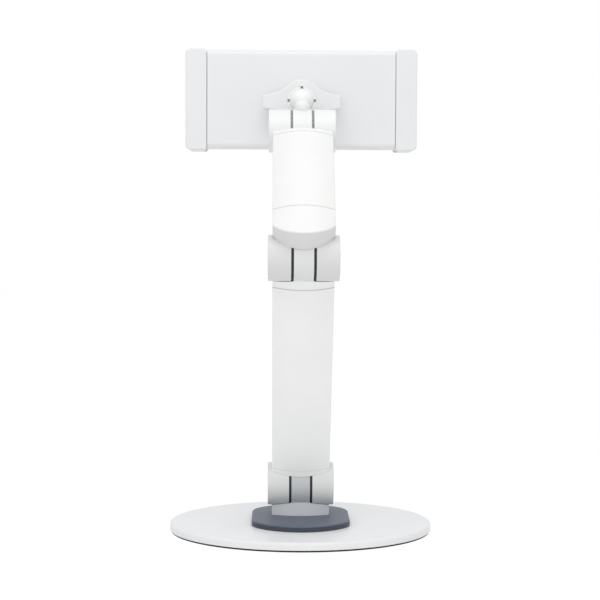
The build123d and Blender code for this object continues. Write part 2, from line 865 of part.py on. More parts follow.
def gear_outline():
    """The pinion's outline: involute flanks thinned by the backlash, gaps up, down and aside."""
    alpha = radians(pressure_angle)
    base_radius = pitch_radius * cos(alpha)
    tip_radius = pitch_radius + gear_module
    root_radius = pitch_radius - rack_addendum - tooth_root_clearance
    half_tooth = pi / (2 * pinion_teeth) - tooth_backlash / (2 * pitch_radius)

    def involute(angle):
        return tan(angle) - angle

    def flank_point(radius, side, middle):
        swing = half_tooth + involute(alpha) - involute(acos(min(1, base_radius / radius)))
        return polar(radius, middle + side * swing)

    def polar(radius, angle):
        return (radius * cos(angle), radius * sin(angle))

    radii = [base_radius + (tip_radius - base_radius) * i / 3 for i in range(4)]
    pitch_angle = 2 * pi / pinion_teeth
    with BuildSketch() as gear:
        with BuildLine():
            for tooth in range(pinion_teeth):
                middle = (tooth + 0.5) * pitch_angle
                rising = [flank_point(radius, -1, middle) for radius in radii]
                falling = [flank_point(radius, 1, middle) for radius in reversed(radii)]
                swing = half_tooth + involute(alpha)
                Line(polar(root_radius, middle - swing), rising[0])
                Spline(*rising)
                ThreePointArc(rising[-1], polar(tip_radius, middle), falling[0])
                Spline(*falling)
                Line(falling[-1], polar(root_radius, middle + swing))
                ThreePointArc(
                    polar(root_radius, middle + swing),
                    polar(root_radius, middle + pitch_angle / 2),
                    polar(root_radius, middle + pitch_angle - swing),
                )
        make_face()
        Circle(axle_radius + running_clearance, mode=Mode.SUBTRACT)
    return gear.sketch


def rack_outline():
    """The right rack seen from the holder's back: teeth below, a plain arm above."""
    slope = tan(radians(pressure_angle))
    half_tooth = tooth_pitch / 4 - tooth_backlash / 2
    tip = pitch_radius - rack_addendum
    root = pitch_radius + gear_module + tooth_root_clearance
    tooth_count = int((rack_inner_reach - tooth_pitch) / tooth_pitch)
    outer_end = jaw_inner + rack_in_jaw
    points = [(outer_end, rack_top), (-rack_inner_reach, rack_top), (-rack_inner_reach, root)]
    for tooth in range(-tooth_count, rack_step_teeth - 1):
        middle = tooth * tooth_pitch
        points += [
            (middle - half_tooth - (root - pitch_radius) * slope, root),
            (middle - half_tooth + rack_addendum * slope, tip),
            (middle + half_tooth - rack_addendum * slope, tip),
            (middle + half_tooth + (root - pitch_radius) * slope, root),
        ]
    step = rack_step_teeth * tooth_pitch
    points += [(step, root), (step, rack_low), (outer_end, rack_low), points[0]]
    with BuildSketch() as rack:
        with BuildLine():
            Polyline(*points)
        make_face()
    return rack.sketch


def turned_half(piece, side):
    """A right-hand piece as it is, or turned half round the pinion's axis for the left hand."""
    if side > 0:
        return piece
    return piece.rotate(Axis((0, 0, holder_z), (0, 1, 0)), 180)


def cover_screw_places():
    """Where the front cover's four screws stand, in the holder's own x and z."""
    x = holder_width / 2 - cover_screw_edge_distance - side_wall
    z = holder_height / 2 - side_wall - cover_screw_boss_radius / 2
    return [(x, z), (-x, z), (x, -z), (-x, -z)]


shell_depth = holder_depth - front_cover_thickness
cavity_depth = shell_depth - back_wall
cavity_height = holder_height - 2 * side_wall
cavity_width = holder_width - 2 * side_wall
guide_back = rack_back_y - slide_clearance

with BuildPart() as holder_back:
    with BuildSketch(across(Vector(0, 0, holder_z), -holder_width / 2)) as shell_section:
        with Locations((holder_back_y + shell_depth / 2, 0)):
            Rectangle(shell_depth, holder_height)
        fillet(shell_section.vertices().group_by(Axis.X)[0], holder_edge_radius)
    extrude(amount=holder_width)
    with BuildSketch(facing(cover_back_y)):
        Rectangle(cavity_width, cavity_height)
    extrude(amount=cavity_depth, mode=Mode.SUBTRACT)
    with BuildSketch(facing(guide_back)):
        for side in (-1, 1):
            with Locations((0, side * (rack_top - rack_height / 4))):
                Rectangle(cavity_width, rack_height / 2)
    extrude(amount=guide_back - holder_back_y - back_wall / 2)
    with BuildSketch(facing(cover_back_y)):
        for side in (-1, 1):
            with Locations((0, side * (rack_top + slide_clearance + guide_thickness / 2))):
                Rectangle(cavity_width, guide_thickness)
        with Locations(*cover_screw_places()):
            Circle(cover_screw_boss_radius)
        for side in (-1, 1):
            with Locations((-side * spring_post_distance, side * rack_middle)):
                Circle(spring_post_radius)
    extrude(amount=cavity_depth + back_wall / 2)
    with BuildSketch(facing(cover_back_y)):
        with Locations(*cover_screw_places()):
            Circle(cover_screw_radius)
    extrude(amount=cavity_depth, mode=Mode.SUBTRACT)
    with BuildSketch(facing(rack_front_y + slide_clearance)):
        for side in (-1, 1):
            slot_low = rack_low - slide_clearance
            slot_high = rack_top + slide_clearance
            with Locations((side * holder_width / 2, side * (slot_low + slot_high) / 2)):
                Rectangle(3 * side_wall, slot_high - slot_low)
    extrude(amount=rack_thickness + 2 * slide_clearance, mode=Mode.SUBTRACT)
    with BuildSketch(facing(ball_centre.Y + flange_back, ball_centre.Z)):
        Circle(thread_radius + shell_socket_clearance)
    extrude(amount=back_wall, mode=Mode.SUBTRACT)
    with BuildSketch(facing(ball_centre.Y + flange_front, ball_centre.Z)):
        Circle(flange_radius + shell_socket_clearance)
    extrude(amount=flange_thickness, mode=Mode.SUBTRACT)
    with BuildSketch(facing(ball_centre.Y + flange_front, ball_centre.Z)):
        with PolarLocations(flange_screw_circle, 4, start_angle=45):
            Circle(flange_screw_radius + running_clearance)
    extrude(amount=flange_thickness + flange_screw_bite + touch_gap, mode=Mode.SUBTRACT)
holder_back.part.label = "holder_back"
export_step(holder_back.part, "parts/holder_back.step")

with BuildPart() as holder_front:
    with BuildSketch(facing(holder_front_y)):
        Rectangle(holder_width, holder_height)
    extrude(amount=front_cover_thickness)
    fillet(holder_front.faces().sort_by(Axis.Y)[-1].edges(), front_edge_radius)
    with BuildSketch(facing(holder_front_y)):
        RectangleRounded(face_pad_width, face_pad_height, face_pad_corner_radius)
    extrude(amount=face_pad_thickness / 2, mode=Mode.SUBTRACT)
    with BuildSketch(facing(holder_front_y)):
        with Locations(*cover_screw_places()):
            Circle(cover_screw_head_radius + running_clearance)
    extrude(
        amount=cover_screw_head_radius - cover_screw_radius,
        taper=countersink_angle,
        mode=Mode.SUBTRACT,
    )
    with BuildSketch(facing(holder_front_y)):
        with Locations(*cover_screw_places()):
            Circle(cover_screw_radius + running_clearance)
    extrude(amount=front_cover_thickness, mode=Mode.SUBTRACT)
    with BuildSketch(facing(cover_back_y + front_cover_thickness / 2)):
        Circle(axle_radius)
    extrude(amount=front_cover_thickness / 2, mode=Mode.SUBTRACT)
holder_front.part.label = "holder_front"
export_step(holder_front.part, "parts/holder_front.step")

with BuildPart() as holder_face_pad:
    with BuildSketch(facing(holder_front_y + face_pad_thickness / 2)):
        RectangleRounded(face_pad_width, face_pad_height, face_pad_corner_radius)
    extrude(amount=face_pad_thickness)
holder_face_pad.part.label = "holder_face_pad"
export_step(holder_face_pad.part, "parts/holder_face_pad.step")

with BuildPart() as cover_screws:
    with BuildSketch(facing(holder_front_y)):
        with Locations(*cover_screw_places()):
            Circle(cover_screw_head_radius)
    extrude(amount=cover_screw_head_radius - cover_screw_radius, taper=countersink_angle)
    with BuildSketch(facing(holder_front_y)):
        with Locations(*cover_screw_places()):
            Circle(cover_screw_radius)
    extrude(amount=holder_depth - back_wall)
cover_screws.part.label = "cover_screws"
export_step(cover_screws.part, "parts/cover_screws.step")

with BuildPart() as flange_screws:
    with BuildSketch(facing(ball_centre.Y + flange_front, ball_centre.Z)):
        with PolarLocations(flange_screw_circle, 4, start_angle=45):
            Circle(flange_screw_head_radius)
    extrude(amount=flange_screw_head_radius - flange_screw_radius, taper=countersink_angle)
    with BuildSketch(facing(ball_centre.Y + flange_front, ball_centre.Z)):
        with PolarLocations(flange_screw_circle, 4, start_angle=45):
            Circle(flange_screw_radius)
    extrude(amount=flange_thickness + flange_screw_bite)
flange_screws.part.label = "flange_screws"
export_step(flange_screws.part, "parts/flange_screws.step")

axle_back_y = ball_centre.Y + flange_front
with BuildPart() as pinion_axle:
    with BuildSketch(facing(cover_back_y + front_cover_thickness / 2)):
        Circle(axle_radius)
    extrude(amount=cover_back_y + front_cover_thickness / 2 - axle_back_y + axle_end_depth)
    with BuildSketch(facing(rack_back_y - touch_gap)):
        Circle(axle_shoulder_radius)
    extrude(amount=rack_back_y - touch_gap - axle_back_y)
pinion_axle.part.label = "pinion_axle"
export_step(pinion_axle.part, "parts/pinion_axle.step")

with BuildPart() as pinion:
    with BuildSketch(facing(rack_front_y)):
        add(gear_outline())
    extrude(amount=rack_thickness)
pinion.part.label = "pinion"
export_step(pinion.part, "parts/pinion.step")

jaw_screw_x = jaw_inner + rack_in_jaw / 2
jaw_screw_places = [
    (jaw_screw_x, rack_middle - jaw_screw_spacing / 2),
    (jaw_screw_x, rack_middle + jaw_screw_spacing / 2),
]
lip_back_y = jaw_front_y - jaw_lip_thickness
pad_face_x = jaw_inner
jaw_wall_x = jaw_inner + jaw_pad_thickness

with BuildPart() as right_jaw_shape:
    with BuildSketch(Plane.XY.offset(holder_z - jaw_height / 2)) as jaw_plan:
        with BuildLine():
            Polyline(
                (jaw_inner, holder_back_y),
                (jaw_outer, holder_back_y),
                (jaw_outer, jaw_front_y),
                (jaw_outer - jaw_lip, jaw_front_y),
                (jaw_outer - jaw_lip, lip_back_y),
                (jaw_wall_x, lip_back_y),
                (jaw_wall_x, holder_front_y),
                (jaw_inner, holder_front_y),
                close=True,
            )
        make_face()
        fillet(jaw_plan.vertices().group_by(Axis.X)[-1].group_by(Axis.Y)[-1], jaw_front_radius)
        fillet(jaw_plan.vertices().group_by(Axis.X)[0], jaw_lip_thickness / 2 - touch_gap)
    extrude(amount=jaw_height)
    with BuildSketch(facing(jaw_front_y)) as jaw_front_outline:
        with Locations(((jaw_inner + jaw_outer) / 2, 0)):
            Rectangle(jaw_width, jaw_height)
        fillet(jaw_front_outline.vertices().group_by(Axis.X)[-1], jaw_corner_radius)
        fillet(jaw_front_outline.vertices().group_by(Axis.X)[0], jaw_inner_corner_radius)
        with Locations((jaw_outer - jaw_lip / 2, 0)):
            Rectangle(jaw_lip, jaw_lip_height)
        fillet(jaw_front_outline.vertices().group_by(Axis.X)[0], jaw_lip_corner_radius)
    extrude(amount=2 * holder_depth + jaw_reach, mode=Mode.INTERSECT)
    back_rim = right_jaw_shape.faces().sort_by(Axis.Y)[0].edges()
    fillet(back_rim, jaw_edge_radius)
    with BuildSketch(facing(rack_front_y + touch_gap, holder_z)):
        with Locations((jaw_inner + rack_in_jaw / 2, rack_middle)):
            Rectangle(rack_in_jaw + 2 * touch_gap, rack_height + 2 * touch_gap)
    extrude(amount=rack_thickness + 2 * touch_gap, mode=Mode.SUBTRACT)
    with BuildSketch(facing(holder_front_y, holder_z)):
        with Locations(*jaw_screw_places):
            Circle(rack_screw_radius + running_clearance)
    extrude(amount=holder_front_y - rack_back_y + jaw_screw_bite + touch_gap, mode=Mode.SUBTRACT)


def jaw_pad_shape():
    """The right jaw's ribbed rubber pad, between the holder's face and the lip."""
    depth = lip_back_y - holder_front_y
    height = jaw_height - 2 * jaw_corner_radius
    rib_pitch = height / jaw_pad_ribs
    with BuildPart() as pad:
        with BuildSketch(Plane.XY.offset(holder_z - height / 2)):
            with Locations((jaw_wall_x - jaw_pad_thickness / 2, holder_front_y + depth / 2)):
                Rectangle(jaw_pad_thickness, depth)
        extrude(amount=height)
        for rib in range(jaw_pad_ribs - 1):
            z = holder_z - height / 2 + (rib + 1) * rib_pitch
            with BuildSketch(Plane.XY.offset(z - jaw_pad_rib / 2)):
                with Locations((pad_face_x, holder_front_y + depth / 2)):
                    Rectangle(2 * jaw_pad_rib, depth)
            extrude(amount=jaw_pad_rib, mode=Mode.SUBTRACT)
    return pad.part


def rack_shape():
    """The right rack with the holes of its two screws."""
    with BuildPart() as rack:
        with BuildSketch(facing(rack_front_y, holder_z)):
            add(rack_outline())
        extrude(amount=rack_thickness)
        with BuildSketch(facing(rack_front_y, holder_z)):
            with Locations(*jaw_screw_places):
                Circle(rack_screw_radius + running_clearance)
        extrude(amount=rack_thickness, mode=Mode.SUBTRACT)
    return rack.part


def jaw_screw_shape():
    """The right jaw's two screws, from the holder's face through the rack."""
    with BuildPart() as screws:
        with BuildSketch(facing(holder_front_y, holder_z)):
            with Locations(*jaw_screw_places):
                Circle(rack_screw_radius)
        extrude(amount=holder_front_y - rack_back_y + jaw_screw_bite)
    return screws.part


def spring_shape():
    """The right jaw's extension spring: a close coil from its post to the rack's inner end."""
    start = -spring_post_distance + spring_post_radius + touch_gap + spring_wire_radius
    end = -rack_inner_reach - touch_gap - spring_wire_radius
    coil_start = (start, rack_front_y - rack_thickness / 2, holder_z + rack_middle)
    length = end - start
    with BuildPart() as spring:
        with BuildLine() as coil:
            Helix(length / spring_turns, length, spring_radius, center=coil_start, direction=(1, 0, 0))
        with BuildSketch(Plane(origin=coil.line @ 0, z_dir=coil.line % 0)):
            Circle(spring_wire_radius)
        sweep(path=coil.line, is_frenet=True)
    return spring.part


for side, hand in ((1, "right"), (-1, "left")):
    pieces = {
        "jaw": right_jaw_shape.part,
        "jaw_pad": jaw_pad_shape(),
        "rack": rack_shape(),
        "jaw_screws": jaw_screw_shape(),
        "spring": spring_shape(),
    }
    for name, shape in pieces.items():
        with BuildPart() as piece:
            add(turned_half(shape, side))
        piece.part.label = f"{hand}_{name}"
        export_step(piece.part, f"parts/{hand}_{name}.step")
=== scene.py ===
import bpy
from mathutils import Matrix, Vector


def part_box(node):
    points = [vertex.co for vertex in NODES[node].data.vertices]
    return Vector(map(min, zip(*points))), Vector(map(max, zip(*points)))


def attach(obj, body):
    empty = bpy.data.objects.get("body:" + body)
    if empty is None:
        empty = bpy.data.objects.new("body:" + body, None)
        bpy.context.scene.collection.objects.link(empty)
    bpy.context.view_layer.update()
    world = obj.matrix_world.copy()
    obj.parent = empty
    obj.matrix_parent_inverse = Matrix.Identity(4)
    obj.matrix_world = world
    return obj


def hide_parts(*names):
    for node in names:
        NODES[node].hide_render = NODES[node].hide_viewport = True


bl_info = {
    "name": "Long-arm tablet mount",
    "version": (1, 0, 0),
    "blender": (4, 5, 0),
    "location": "View3D > Sidebar > Tablet mount",
    "description": "Finishes, soft pads, screws and studio of a long-arm desk mount for a tablet",
    "category": "Object",
}

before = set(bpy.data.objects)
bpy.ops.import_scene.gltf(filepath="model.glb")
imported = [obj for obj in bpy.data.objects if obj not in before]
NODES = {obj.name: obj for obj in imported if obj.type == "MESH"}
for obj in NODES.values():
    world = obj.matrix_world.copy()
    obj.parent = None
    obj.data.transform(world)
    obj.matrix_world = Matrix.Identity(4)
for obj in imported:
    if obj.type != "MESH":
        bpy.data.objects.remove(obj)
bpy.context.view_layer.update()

import math

import bmesh
import bpy
from bpy.props import FloatProperty, FloatVectorProperty, IntProperty, PointerProperty
from bpy.types import Operator, Panel, PropertyGroup
from mathutils import Euler, Matrix, Vector

HINGES = ("base_hinge", "elbow", "wrist")


def middle_of(node):
    """The middle of a CAD node's box."""
    low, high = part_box(node)
    return (Vector(low) + Vector(high)) / 2


def hinge_centre(name):
    """Where a hinge's axis crosses the middle of the mount."""
    centre = middle_of(f"{name}_covers")
    return Vector((0.0, centre.y, centre.z))


def ends_along(node, direction):
    """How far along a direction a CAD node starts and ends."""
    reach = [vertex.co.dot(direction) for vertex in NODES[node].data.vertices]
    return min(reach), max(reach)


# Finishes


def linear(colour):
    """A colour as a screen shows it, turned into the light values that a shader takes."""
    return tuple(c / 12.92 if c <= 0.04045 else ((c + 0.055) / 1.055) ** 2.4 for c in colour[:3])


class Wire:
    """A number socket in a material; arithmetic on it adds the nodes that work it out."""

    def __init__(self, tree, socket):
        self.tree = tree
        self.socket = socket

    def maths(self, operation, *others):
        """The result of a Math node on this number and others."""
        node = self.tree.nodes.new("ShaderNodeMath")
        node.operation = operation
        for value, socket in zip((self, *others), node.inputs):
            if isinstance(value, Wire):
                self.tree.links.new(value.socket, socket)
            else:
                socket.default_value = value
        return Wire(self.tree, node.outputs[0])

    def __add__(self, other):
        return self.maths("ADD", other)

    def __sub__(self, other):
        return self.maths("SUBTRACT", other)

    def __rsub__(self, other):
        return self * -1 + other

    def __mul__(self, other):
        return self.maths("MULTIPLY", other)

    def __pow__(self, other):
        return self.maths("POWER", other)

    def within(self, low, high):
        """0 below low, 1 above high and straight in between."""
        ramp = (self - low) * (1 / (high - low))
        ramp.socket.node.use_clamp = True
        return ramp

    __radd__ = __add__
    __rmul__ = __mul__


def add_node(tree, kind, settings=None, inputs=None):
    """Adds a node: its settings first, then the values or links of its sockets."""
    node = tree.nodes.new(kind)
    for key, value in (settings or {}).items():
        setattr(node, key, value)
    for key, value in (inputs or {}).items():
        if isinstance(value, Wire):
            value = value.socket
        if isinstance(value, bpy.types.NodeSocket):
            tree.links.new(value, node.inputs[key])
        else:
            node.inputs[key].default_value = value
    return node


class Finish:
    """A material whose patterns lie in object space, round one principled shader."""

    def __init__(self, name, constants):
        self.material = bpy.data.materials.new(name)
        self.material.use_nodes = True
        self.tree = self.material.node_tree
        self.shader = self.tree.nodes["Principled BSDF"]
        for socket, value in constants.items():
            self.shader.inputs[socket].default_value = value
        self.place = self.node("ShaderNodeTexCoord").outputs["Object"]
        self.heights = []

    def node(self, kind, settings=None, inputs=None):
        return add_node(self.tree, kind, settings, inputs)

    def stretched(self, scale):
        """The object's own coordinates, scaled along each axis."""
        settings = {"vector_type": "POINT"}
        inputs = {"Vector": self.place, "Scale": scale}
        return self.node("ShaderNodeMapping", settings, inputs).outputs[0]

    def noise(self, scale, detail=2.0, vector=None, roughness=0.5):
        """Soft random patches from 0 to 1, about as many to the metre as the scale."""
        inputs = {
            "Vector": vector or self.place,
            "Scale": scale,
            "Detail": detail,
            "Roughness": roughness,
        }
        return Wire(self.tree, self.node("ShaderNodeTexNoise", None, inputs).outputs[0])

    def cells(self, scale, vector):
        """The distance to the nearest of random points, as many to the metre as the scale."""
        inputs = {"Vector": vector, "Scale": scale}
        return Wire(self.tree, self.node("ShaderNodeTexVoronoi", None, inputs).outputs["Distance"])

    def axis(self, name):
        """One of the object's own coordinates, in metres."""
        split = self.node("ShaderNodeSeparateXYZ", None, {"Vector": self.place})
        return Wire(self.tree, split.outputs[name])

    def along(self, direction):
        """How far the surface lies along a direction, in metres."""
        settings = {"operation": "DOT_PRODUCT"}
        product = self.node("ShaderNodeVectorMath", settings, {0: self.place, 1: direction})
        return Wire(self.tree, product.outputs["Value"])

    def mixed(self, factor, low, high):
        """A colour between low and high, each a colour or a socket."""
        mix = self.node("ShaderNodeMix", {"data_type": "RGBA"})
        self.tree.links.new(factor.socket, mix.inputs[0])
        for colour, socket in ((low, mix.inputs[6]), (high, mix.inputs[7])):
            if isinstance(colour, bpy.types.NodeSocket):
                self.tree.links.new(colour, socket)
            else:
                socket.default_value = (*colour, 1.0)
        return mix.outputs[2]

    def colour(self, value):
        """Makes a colour socket the surface's colour."""
        self.tree.links.new(value, self.shader.inputs["Base Color"])

    def roughness(self, value):
        """Makes a number the surface's roughness."""
        self.tree.links.new(value.socket, self.shader.inputs["Roughness"])

    def bump(self, height, depth, strength=1.0):
        """Raises the surface by up to depth metres where height is 1."""
        inputs = {"Height": height, "Distance": depth, "Strength": strength}
        if self.heights:
            inputs["Normal"] = self.heights[-1]
        self.heights.append(self.node("ShaderNodeBump", None, inputs).outputs[0])
        self.tree.links.new(self.heights[-1], self.shader.inputs["Normal"])


def shade(colour, amount):
    """A colour made lighter, or darker where amount is below 1."""
    return tuple(min(1.0, c * amount) for c in colour)


# How far below the rim the nose's painted shade starts to fade, and where it is gone, in metres
RIM_FADE = (0.0011, 0.0006)
# How far outside a barrel its painted shade is gone
BARREL_FADE = 0.0008
# Half the width of a shut line's full painted shade, and how far from its middle it is gone
SEAM_FADE = (0.0002, 0.0006)


def powder_coat(
    name, colour, peel, gloss, shaded_barrels=(), radius=0.0, direction=None, shaded_seams=(), shaded_wall=None
):
    """Satin powder coat: a fine orange-peel surface with slight clouding and dull patches.

    Painted shade makes it greyer within the radius of each hinge barrel, in the shut lines and
    below a rim. Each shaded barrel is a hinge centre, each shut line a level along the direction,
    and the shaded part all that lies below the rim, a level along its own direction that falls by
    the bow times the square of X. Each comes with the share of light that its painted shade keeps.
    """
    finish = Finish(name, {"IOR": 1.46, "Coat Weight": 0.12, "Coat Roughness": 0.25})
    cloud = finish.noise(28.0, 3.0)
    coat = finish.mixed(cloud.within(0.35, 0.65), shade(colour, 0.985), shade(colour, 1.01))
    # Painted shade: the coat is greyer below the rim, on the nose's end face
    if shaded_wall:
        upwards, level, bow, kept = shaded_wall
        across = finish.axis("X")
        height = finish.along(upwards) + bow * across * across
        above = height.within(level - RIM_FADE[0], level - RIM_FADE[1])
        coat = finish.mixed(above, shade(colour, kept), coat)
    # Painted shade: the coat is greyer within each hinge barrel's radius
    for centre, kept in shaded_barrels:
        reach = (finish.axis("Y") - centre.y) ** 2 + (finish.axis("Z") - centre.z) ** 2
        outside = (reach ** 0.5).within(radius, radius + BARREL_FADE)
        coat = finish.mixed(outside, shade(colour, kept), coat)
    # Painted shade: the coat is greyer along each shut line
    for level, kept in shaded_seams:
        away = (finish.along(direction) - level).maths("ABSOLUTE")
        coat = finish.mixed(away.within(*SEAM_FADE), shade(colour, kept), coat)
    finish.colour(coat)
    finish.roughness(gloss + 0.07 * finish.noise(55.0, 3.0) + 0.05 * finish.noise(700.0))
    finish.bump(finish.noise(420.0, 2.0), peel, 0.35)
    finish.bump(finish.noise(1500.0, 1.0), peel * 0.3, 0.25)
    return finish.material


def moulded_plastic(name, colour, grain, gloss):
    """Moulded plastic with a spark-eroded texture and faint flow clouding."""
    finish = Finish(name, {"IOR": 1.49})
    cloud = finish.noise(18.0, 3.0)
    finish.colour(finish.mixed(cloud.within(0.35, 0.65), shade(colour, 0.99), shade(colour, 1.006)))
    finish.roughness(gloss + 0.06 * finish.noise(90.0, 2.0))
    finish.bump(finish.noise(1900.0, 3.0, roughness=0.7), grain, 0.3)
    return finish.material


def cast_rubber(name, colour, grain, gloss, lower_colour=None, level=0.0):
    """Cast rubber: soft sheen, fine matt grain and dusty high spots, darker below a level."""
    finish = Finish(name, {"IOR": 1.5, "Sheen Weight": 0.12, "Sheen Roughness": 0.5})
    dust = finish.noise(140.0, 4.0) * finish.noise(24.0, 2.0)
    surface = finish.mixed(dust.within(0.12, 0.5), shade(colour, 0.95), shade(colour, 1.12))
    if lower_colour:
        # Below the level the rubber turns to the darker colour
        soft = 0.0002
        top_band = finish.axis("Z").within(level - soft, level + soft)
        surface = finish.mixed(top_band, lower_colour, surface)
    finish.colour(surface)
    finish.roughness(gloss + 0.1 * finish.noise(75.0, 3.0))
    finish.bump(finish.noise(2200.0, 2.0, roughness=0.7), grain, 0.4)
    return finish.material


def plated_steel(name, colour, gloss):
    """Plated steel with fine turned lines about the X axis and a few dull spots."""
    finish = Finish(name, {"Metallic": 1.0})
    lines = finish.noise(60.0, 2.0, finish.stretched((90.0, 1.0, 1.0)))
    finish.colour(finish.mixed(lines, shade(colour, 0.9), shade(colour, 1.08)))
    finish.roughness(gloss + 0.12 * lines + 0.1 * finish.noise(180.0, 2.0).within(0.55, 0.75))
    finish.bump(lines, 0.00002, 0.3)
    return finish.material


def friction_disc(name, colour):
    """A dark fibre disc with short flecks pressed into it."""
    finish = Finish(name, {"IOR": 1.5})
    flecks = finish.cells(900.0, finish.stretched((1.0, 0.35, 1.0)))
    finish.colour(finish.mixed(flecks.within(0.2, 0.8), shade(colour, 1.5), shade(colour, 0.8)))
    finish.roughness(0.6 + 0.2 * flecks)
    finish.bump(flecks, 0.00004, 0.4)
    return finish.material


def dress(material, *names):
    """Gives a material to CAD nodes, whose shape is right as it is."""
    for name in names:
        mesh = NODES[name].data
        mesh.materials.clear()
        mesh.materials.append(material)


# Mesh helpers


def mesh_object(name, mesh, material):
    """Turns a finished bmesh into an object at the origin."""
    data = bpy.data.meshes.new(name)
    mesh.to_mesh(data)
    mesh.free()
    data.materials.append(material)
    piece = bpy.data.objects.new(name, data)
    bpy.context.scene.collection.objects.link(piece)
    return piece


def loft_rings(name, rings, material):
    """A closed solid through rings of points, one for each height, capped at both ends."""
    mesh = bmesh.new()
    loops = [[mesh.verts.new(point) for point in ring] for ring in rings]
    count = len(loops[0])
    for low, high in zip(loops, loops[1:]):
        for i in range(count):
            j = (i + 1) % count
            mesh.faces.new((low[i], low[j], high[j], high[i]))
    mesh.faces.new(list(reversed(loops[0])))
    mesh.faces.new(loops[-1])
    bmesh.ops.recalc_face_normals(mesh, faces=mesh.faces)
    return mesh_object(name, mesh, material)


def smooth_by_angle(piece, degrees=35.0):
    """Shades the faces smooth and keeps the edges sharper than the angle."""
    for face in piece.data.polygons:
        face.use_smooth = True
    piece.data.set_sharp_from_angle(angle=math.radians(degrees))


def arc(centre, radius, start, end, steps):
    """Points along an arc, its angles in radians."""
    return [
        (
            centre[0] + radius * math.cos(start + (end - start) * i / steps),
            centre[1] + radius * math.sin(start + (end - start) * i / steps),
        )
        for i in range(steps + 1)
    ]


def cut_circle(radius, half_width, corner, inset=0.0):
    """A circle cut off at both sides, its four corners rounded, drawn in by the inset."""
    r, w, c = radius - inset, half_width - inset, max(corner - inset, 1e-5)
    x = w - c
    y = math.sqrt((r - c) ** 2 - x**2)
    turn = math.atan2(y, x)
    quarter = arc((x, y), c, 0.0, turn, 10)[:-1] + arc((0.0, 0.0), r, turn, math.pi / 2, 40)
    left = [(-px, py) for px, py in reversed(quarter[:-1])]
    upper = quarter + left
    return upper + [(px, -py) for px, py in reversed(upper)]


def oval(half_width, half_depth, inset=0.0, steps=144):
    """An ellipse drawn in by the inset."""
    a, b = half_width - inset, half_depth - inset
    angles = [2 * math.pi * i / steps for i in range(steps)]
    return [(a * math.cos(t), b * math.sin(t)) for t in angles]


def rounded_box(half_width, half_height, corner, inset=0.0, steps=10):
    """A rectangle with rounded corners, drawn in by the inset."""
    w, h, c = half_width - inset, half_height - inset, max(corner - inset, 1e-5)
    points = []
    for x, z, start in ((w - c, h - c, 0), (c - w, h - c, 1), (c - w, c - h, 2), (w - c, c - h, 3)):
        points += arc((x, z), c, start * math.pi / 2, (start + 1) * math.pi / 2, steps)
    return points


def rounded_levels(low, high, radius_low, radius_high, steps=8):
    """Pairs of height and inset for a slab whose two rims are rounded."""
    levels = []
    for i in range(steps + 1):
        t = math.pi / 2 * i / steps
        levels.append((low + radius_low * (1 - math.cos(t)), radius_low * (1 - math.sin(t))))
    for i in range(steps + 1):
        t = math.pi / 2 * i / steps
        levels.append((high - radius_high * (1 - math.sin(t)), radius_high * (1 - math.cos(t))))
    return levels


def ring_of(mesh, radius, y, steps=48):
    """Points round the Y axis."""
    turns = [2 * math.pi * i / steps for i in range(steps)]
    return [mesh.verts.new((radius * math.cos(t), y, radius * math.sin(t))) for t in turns]


def join_rings(mesh, first, second):
    """The band of faces between two rings of as many points."""
    for i in range(len(first)):
        j = (i + 1) % len(first)
        mesh.faces.new((first[i], first[j], second[j], second[i]))


# Geometry node helpers


